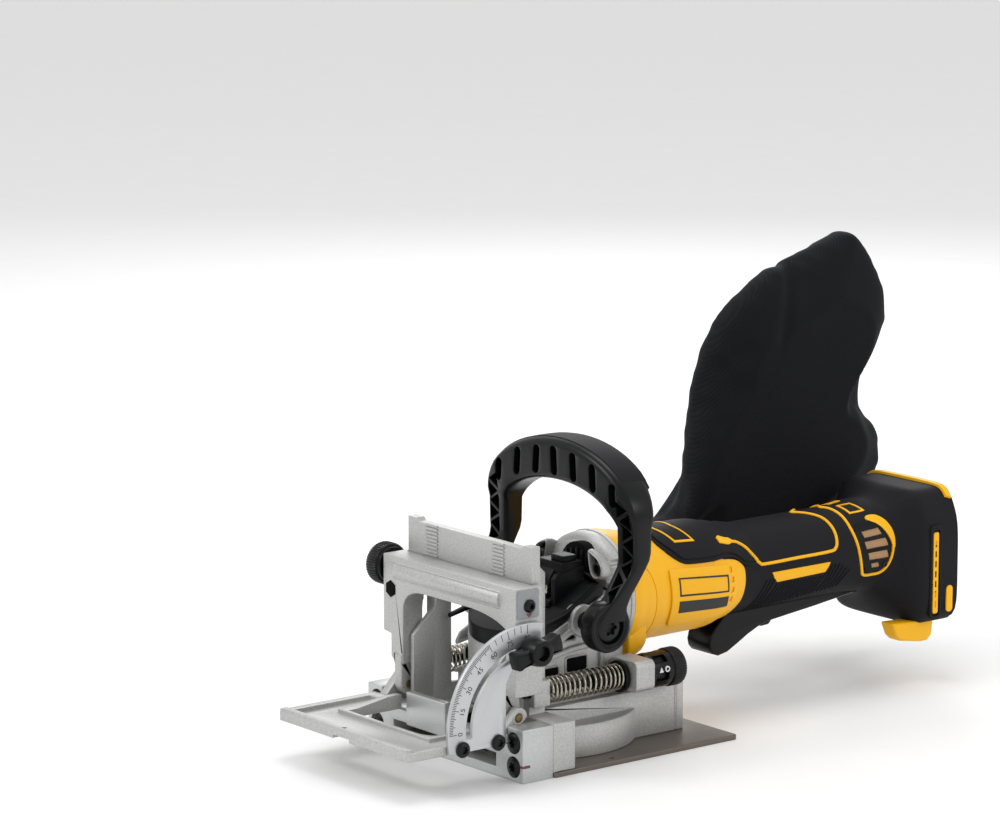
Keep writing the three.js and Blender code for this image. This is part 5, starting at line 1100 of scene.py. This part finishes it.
def vent(side, s, skin):
    frame_shape = [(241.5, 36), (254.5, 44), (260.0, 37), (264.3, 27), (267, 15), (267.6, 4), (264.6, -12),
            (256, -21), (249.5, -22), (245, -10),
                   (242.6, 8)]
    frame_shape = [(p.x, p.y) for p in smooth_path([(y, a, 0) for y, a in frame_shape], 3, True)]
    plate = wrap("look_vent_cover_" + side, frame_shape, skin, -1.0, 0.95, BLACK, s, 0.3, 3.0)
    cuts, meshes = [], []
    for y0, y1, a0, a1 in ((246.0, 261.0, 22.5, 32), (246.4, 265.0, 8, 18.5), (248.6, 265.0, -6.5, 4),
            (251.5, 258.0, -17.5, -10)):
        shape = [(y0 + 1.2, a0), (y1 + 0.8, a0 + 1), (y1 - 0.8, a1), (y0, a1 - 1)]
        cuts.append(wrap("vent_cut", shape, skin, 0.1, 2.4, BLACK, s, 0, 3.0))
        meshes.append(wrap("gauze", shape, skin, -0.6, 0.3, GAUZE, s, 0, 3.0))
    carved(plate, *cuts)
    piece(plate, "motor_unit", "black_plastic", "vent_cover_" + side)
    piece(joined("vent_gauze_" + side, meshes), "motor_unit", "steel")
    head = [(262.4 + 2.0 * math.cos(t * math.pi / 8), -13.5 + 3.7 * math.sin(t * math.pi / 8))
            for t in range(16)]
    hole = [(262.4 + 0.9 * math.cos(t * math.pi / 4), -13.5 + 1.7 * math.sin(t * math.pi / 4))
            for t in range(8)]
    screw = wrap("vent_screw_" + side, head, skin, 0.4, 1.5, BLACK_STEEL, s, 0.25)
    carved(screw, wrap("socket", hole, skin, 1.0, 2.5, BLACK_STEEL, s, 0))
    piece(screw, "motor_unit", "black_steel")


def flank(side, s):
    """The dock's side: a long recess with a slotted yellow strip, and a yellow latch button."""
    def x(a, b):
        return (s * a, s * b) if s > 0 else (s * b, s * a)
    recess = prism("flank_frame_" + side, "x", round_rect((289.6, 299.8), (40, 102), 3.5, 4), x(42.6, 44.8),
            SOFT, 0.6, 3)
    inner = prism("flank_hollow", "x", round_rect((291.4, 298.0), (42.5, 99.5), 2.5, 4), x(43.7, 46), SOFT,
            0)
    carved(recess, inner)
    piece(recess, "motor_unit", "grip_plastic")
    strip = prism("strip", "x", round_rect((292.4, 297.0), (44.0, 97.5), 1.4, 3), x(43.2, 44.6),
            LINE_YELLOW, 0.3)
    gaps = [prism("gap", "x", round_rect((293.9, 295.4), (48 + i * 6.6, 52.4 + i * 6.6), 0.6, 2),
            x(43.9, 46), PAINTED_SHADE, 0) for i in range(7)]
    carved(strip, *gaps)
    piece(strip, "motor_unit", "yellow_plastic")
    pill = prism("dock_latch_" + side, "x", round_rect((304.6, 310.2), (43.5, 61), 2.6, 5), x(43.2, 44.7),
            LINE_YELLOW, 0.5, 3)
    piece(pill, "motor_unit", "yellow_plastic")


def paddle():
    side = [(141, 57.0), (135.4, 51.6), (131.6, 46.6), (130.4, 42), (131.4, 37.6), (134.0, 34.8),
            (138.5, 33.2), (146.0, 34.6), (154, 38.6), (163, 43.4), (172.0, 47.2),
            (180.0, 49.4), (198.6, 51.4), (220.0, 53.6), (240, 56), (254, 57.6), (255.5, 60), (254, 62),
            (240, 61.0), (150, 60.4), (145, 60)]
    body = prism("look_paddle_switch", "x", side, (-11.2, 11.2), GLOSS, 1.6, 4)
    piece(body, "paddle", "black_plastic", "paddle_switch")
    lever = prism("look_lock_off_lever", "x", [(177, 52), (178, 46.4), (181, 44.8), (187, 45.2),
            (190.4, 48.4), (191, 52)], (-3.8, 3.8),
                  GLOSS, 0.9, 3)
    piece(lever, "lock_off", "black_plastic", "lock_off_lever")
    ribs = [prism("rib", "y", round_rect((-8.5, 8.5), (30, 62), 2, 3), (140.0 + i * 3.4, 141.2 + i * 3.4),
            GLOSS, 0.3) for i in range(5)]
    for i, rib in enumerate(ribs):
        keep = prism("keep", "x", [(y, z - 0.5) for y, z in side], (-9, 9), GLOSS, 0)
        carved(rib, keep, operation="INTERSECT")
    piece(joined("paddle_ribs", ribs), "paddle", "black_plastic")


# ---------------------------------------------------------------- front handle
def handle_path():
    """Stations of the arch from the near boss to the far one: (point, inward direction, width across, depth along Y)."""
    stations = []
    for x, y, z, across, deep in ((59.2, 6.0, 84, 11.8, 24), (59.3, 9.0, 92, 12.0, 18),
            (60.0, 13.6, 99, 13.4, 13), (61.0, 18.8, 108, 15.6, 12),
                                  (61.6, 22.8, 115, 17.0, 11.4), (61.75, 24.6, 119.5, 17.4, 12.8),
                                  (61.75, 25, 124, 17.5, 14.2),
                                  (61.75, 25, 139, 17.5, 15)):
        stations.append((Vector((x, y, z)), Vector((-1, 0, 0)), across, deep, 2.8))
    a, b = 61.85, 32.7
    for i in range(1, 32):
        t = math.pi * i / 32
        p = Vector((a * math.cos(t), 25, 140 + b * math.sin(t)))
        tangent = Vector((-a * math.sin(t), 0, b * math.cos(t))).normalized()
        inward = Vector((-tangent.z, 0, tangent.x))
        if inward.dot(Vector((0, 25, 140)) - p) < 0:
            inward = -inward
        k = math.sin(t) ** 0.8
        m = min(1.0, min(i, 32 - i) / 5)
        stations.append((p, inward, 17.4 + 8.4 * k, 16.5 + 7.4 * m, 2.8 + 2.2 * m))
    for p, n, across, deep, corner in list(stations[:8])[::-1]:
        stations.append((Vector((-p.x, p.y, p.z)), -n, across, deep, corner))
    return stations


def rounded_section(p, inward, across, deep, corner):
    corner = min(corner, across * 0.42, deep * 0.42)
    loop = round_rect((-across / 2, across / 2), (-deep / 2, deep / 2), corner, 5)
    return [p + inward * u + Vector((0, 1, 0)) * v for u, v in loop]


def front_handle():
    stations = handle_path()
    arch = loft("look_front_handle", [rounded_section(*st) for st in stations], GLOSS)
    bosses = []
    for s in (1, -1):
        profile = [(0, 53.4), (12.6, 53.4), (15.2, 54.2), (15.4, 57), (15.4, 63.2), (14.8, 64.7),
                (13.6, 65.0), (12.4, 65.0), (12.0, 64.2),
                   (11.2, 64.2), (10.8, 64.8), (10.1, 64.6), (9.8, 60.2), (0, 60.2)]
        profile = [(r, s * x) for r, x in profile]
        bosses.append(lathe("boss", "x", profile if s > 0 else profile[::-1], (4.5, 81), GLOSS, 64))
    carved(arch, *bosses, operation="UNION")
    tools = []
    for x, low, high in ((55, 151.5, 166), (36.7, 158, 175.4), (18.3, 161.8, 179.6), (0, 163, 181.2)):
        for s in ((1, -1) if x else (1,)):
            shape = [(s * x - s * (z - low) * 0.07 + u, z) for u, z in round_rect((-3.0, 3.0), (low, high),
                    2.95, 6)]
            tools.append(prism("slot", "y", shape, (6, 19.5), GLOSS, 0))
    # Alternating triangular pockets lighten the legs' front faces.
    for s in (1, -1):
        for i in range(8):
            z = 99.0 + i * 7.2
            wide = min(1.0, (z - 97) / 20)
            over = max(0.0, z - 138) * 0.2
            x0, x1 = 56.6 + 2.8 * wide - over, 64.0 + 4.4 * wide - over
            if i % 2:
                shape = [(x0, z - 3.4), (x0, z + 6.8), (x1, z + 1.7)]
            else:
                shape = [(x1, z - 3.4), (x1, z + 6.8), (x0, z + 1.7)]
            y = 24.5 - max(0.0, 115 - z) * 0.69
            tools.append(prism("truss", "y", [(s * a, b) for a, b in shape], (y - 24, y), GLOSS, 0))
    for tool in tools:
        carved(arch, tool)
    rounded(arch, 0.3, 2, 40)
    piece(arch, "motor_unit", "black_plastic", "front_handle")
    pad = []
    for p, n, across, *_ in handle_path()[8:39]:
        if abs(p.x) > 57:
            continue
        rise = 3.0 * min(1.0, 0.2 + (57 - abs(p.x)) / 9)
        pad.append([p - n * (across / 2 - 2.4 + rise * v) + Vector((0, u, 0)) for u, v in
                    ((-7.4, 0.0), (-8.2, 0.7), (-7.2, 0.98), (-4, 1.02), (0, 1.03), (4, 1.02), (8.6, 0.98),
                    (11.6, 0.8), (12.6, 0.3), (12.6, -1.2),
                     (10.5, -1.8), (0, -1.0))])
    strip = loft("look_handle_pad", pad, SOFT)
    rounded(strip, 0.4, 2, 50)
    piece(strip, "motor_unit", "soft_rubber", "handle_pad")
    for side, s in (("near", 1), ("far", -1)):
        torx("look_handle_screw_" + side, "x", (4.5, 81), s * 61.0, s, 9.5, BLACK_STEEL, "motor_unit",
                "handle_screw_" + side, height=3.4)
        key = prism("boss_key_" + side, "x", [(-10.8, 79), (-8.6, 87), (-6.5, 91), (-4, 92), (-6, 85),
                (-8, 76)],
                    (55, 62) if s > 0 else (-62, -55), GLOSS, 0.5)
        piece(key, "motor_unit", "black_plastic")


# ---------------------------------------------------------------- depth turret
def turret():
    at = (49, 45.5)
    drum = lathe("look_depth_turret", "y", [
        (0, 66.8), (3.3, 66.8), (3.3, 41.1), (9.6, 41.1), (10.6, 41.6), (11.0, 42.4), (11.2, 44.2),
        (11.2, 58.6), (10.6, 59.0), (10.6, 59.8), (11.6, 60.2, 0.3), (11.7, 61.2, 0.32),
        (11.7, 67.8, 0.32), (11.2, 69.2, 0.1), (7.5, 69.5), (6.8, 68.9), (0, 68.7)], at, GLOSS, 180, 45)
    windows = []
    for i in range(6):
        a = math.radians(i * 60 + 48)
        d, t = Vector((math.cos(a), math.sin(a))), Vector((-math.sin(a), math.cos(a)))
        shape = []
        for r, w in ((8.2, -2.6), (13, -2.6), (13, 2.6), (8.2, 2.6)):
            q = Vector(at) + d * r + t * w
            shape.append(tuple(q))
        windows.append(prism("window", "y", shape, (45.2, 55), GLOSS, 0))
    carved(drum, *windows)
    rounded(drum, 0.25, 2, 45)
    piece(drum, "depth_stop", "black_plastic", "depth_turret")
    zero = torus_lathe("zero", "x", [(1.1, 59.4), (1.8, 59.4), (1.8, 60.5), (1.1, 60.5)], (53.4, 47.6),
            WHITE, 32)
    mark = prism("mark", "x", [(47.0, 46.0), (50.2, 46.0), (48.6, 49.0)], (59.4, 60.45), WHITE, 0)
    piece(joined("turret_print", [zero, mark]), "depth_stop", "black_plastic")
    dress("depth_stop_screw", BLACK_STEEL, 0.3)


# ---------------------------------------------------------------- dust port and bag
def dust():
    port = dress("dust_port", BLACK, 0.0)
    smooth = port.modifiers.new("remesh", "REMESH")
    smooth.mode = "VOXEL"
    smooth.voxel_size = 1.0 * MM
    relax = port.modifiers.new("relax", "SMOOTH")
    relax.factor = 0.6
    relax.iterations = 8
    applied(port, 60)
    bag()


BAG_SIDE = [(118, 88), (134, 90), (149, 95), (157, 103), (164, 117), (174, 148), (183, 174), (192, 197),
        (203, 222), (220, 242), (250, 261), (278, 270),
            (302, 277), (318, 281), (326, 278), (339, 259), (349, 236), (349.5, 209), (345.5, 184),
            (344, 163), (351, 140), (344, 112), (322, 92),
            (296, 84), (250, 80), (200, 77), (150, 76), (126, 79)]


def bag():
    """An empty cloth bag that stands up from its collar: swelled by simulation, then creased."""
    outline = [(p.x, p.y) for p in smooth_path([(y, z, 0) for y, z in BAG_SIDE], 3, True)]
    blank = prism("look_dust_bag", "x", outline, (-84, -58), CLOTH, 0)
    remesh = blank.modifiers.new("remesh", "REMESH")
    remesh.mode = "VOXEL"
    remesh.voxel_size = 5.0 * MM
    relax = blank.modifiers.new("relax", "SMOOTH")
    relax.factor = 0.5
    relax.iterations = 14
    applied(blank)
    # Long soft folds run from the collar up through the cloth before it is let out.
    for v in blank.data.vertices:
        y, z = v.co.y / MM, v.co.z / MM
        along = math.atan2(z - 60, y - 90)
        fold = math.sin(along * 13.0 + 2.0 * noise.noise(Vector((y * 0.010, z * 0.010, 1.7))))
        v.co.x += (fold * 1.6 + 6.0 * noise.noise(Vector((y * 0.011, z * 0.011, 4.2)))) * MM
    rest = [v.co.copy() for v in blank.data.vertices]
    cloth = blank.modifiers.new("cloth", "CLOTH")
    cloth.settings.quality = 6
    cloth.settings.mass = 0.25
    cloth.settings.tension_stiffness = 18
    cloth.settings.compression_stiffness = 10
    cloth.settings.shear_stiffness = 8
    cloth.settings.bending_stiffness = 0.4
    cloth.settings.use_pressure = True
    cloth.settings.uniform_pressure_force = 3.0
    cloth.settings.effector_weights.gravity = 0.0
    for f in range(1, 17):
        bpy.context.scene.frame_set(f)
    applied(blank)
    bpy.context.scene.frame_set(1)
    cap = 12 * MM
    for v, at in zip(blank.data.vertices, rest):
        move = v.co - at
        if move.length > cap:
            v.co = at + move * (cap / move.length)
    sub = blank.modifiers.new("sub", "SUBSURF")
    sub.levels = 1
    applied(blank)
    # Wrinkles run up the cloth, and one long crease runs down from the upper edge.
    blank.data.update()
    moves = []
    for v in blank.data.vertices:
        p = v.co / MM
        up, over = 0.55 * p.y + 0.83 * p.z, 0.83 * p.y - 0.55 * p.z
        ridge = 1.0 - 2.0 * abs(noise.noise(Vector((p.x * 0.01, up * 0.006, over * 0.024))))
        fine = noise.noise(Vector((p.x * 0.03, up * 0.02, over * 0.05)))
        crease = abs((p.y - 262) * 0.949 - (p.z - 262) * 0.314)
        dent = -2.4 * math.exp(-(crease / 4.5) ** 2) * max(0.0, min(1.0, (p.z - 105) / 40))
        moves.append(v.normal * ((ridge - 0.5) * 1.8 + fine * 0.6 + dent) * MM)
    for v, m in zip(blank.data.vertices, moves):
        v.co += m
        v.co.x = min(-50.5 * MM, max(-103.5 * MM, v.co.x))
        v.co.z = min(284 * MM, v.co.z)
    # The cloth is open inside the collar, and a thin shell everywhere else.
    bm = bmesh.new()
    bm.from_mesh(blank.data)
    inside = []
    for face in bm.faces:
        c = face.calc_center_median() / MM
        if math.hypot(c.x + 64, c.y - 116) < 12.0 and c.z < 100:
            inside.append(face)
    bmesh.ops.delete(bm, geom=inside, context="FACES")
    bm.to_mesh(blank.data)
    bm.free()
    shell = blank.modifiers.new("shell", "SOLIDIFY")
    shell.thickness = 0.9 * MM
    shell.offset = -1.0
    applied(blank)
    blank.data.shade_smooth()
    collar = torus_lathe("bag_collar", "z", [(12.6, 63), (14.4, 62.6), (14.9, 64), (14.9, 74), (16.2, 76),
            (16.6, 84), (16.2, 92), (14, 96), (12.6, 92)],
                         (-64, 116), BLACK, 48)
    piece(collar, "bag", "bag_cloth")
    piece(blank, "bag", "bag_cloth", "dust_bag")


stage()
shoe()
fence()
gear_head()
motor_case()
grip_skin = rear_grip()
cap_lower, cap_upper = overmould()
grip_skin.trees += Skin(cap_lower, cap_upper).trees
grip_details(grip_skin)
cap_frame(grip_skin)
paddle()
front_handle()
turret()
dust()
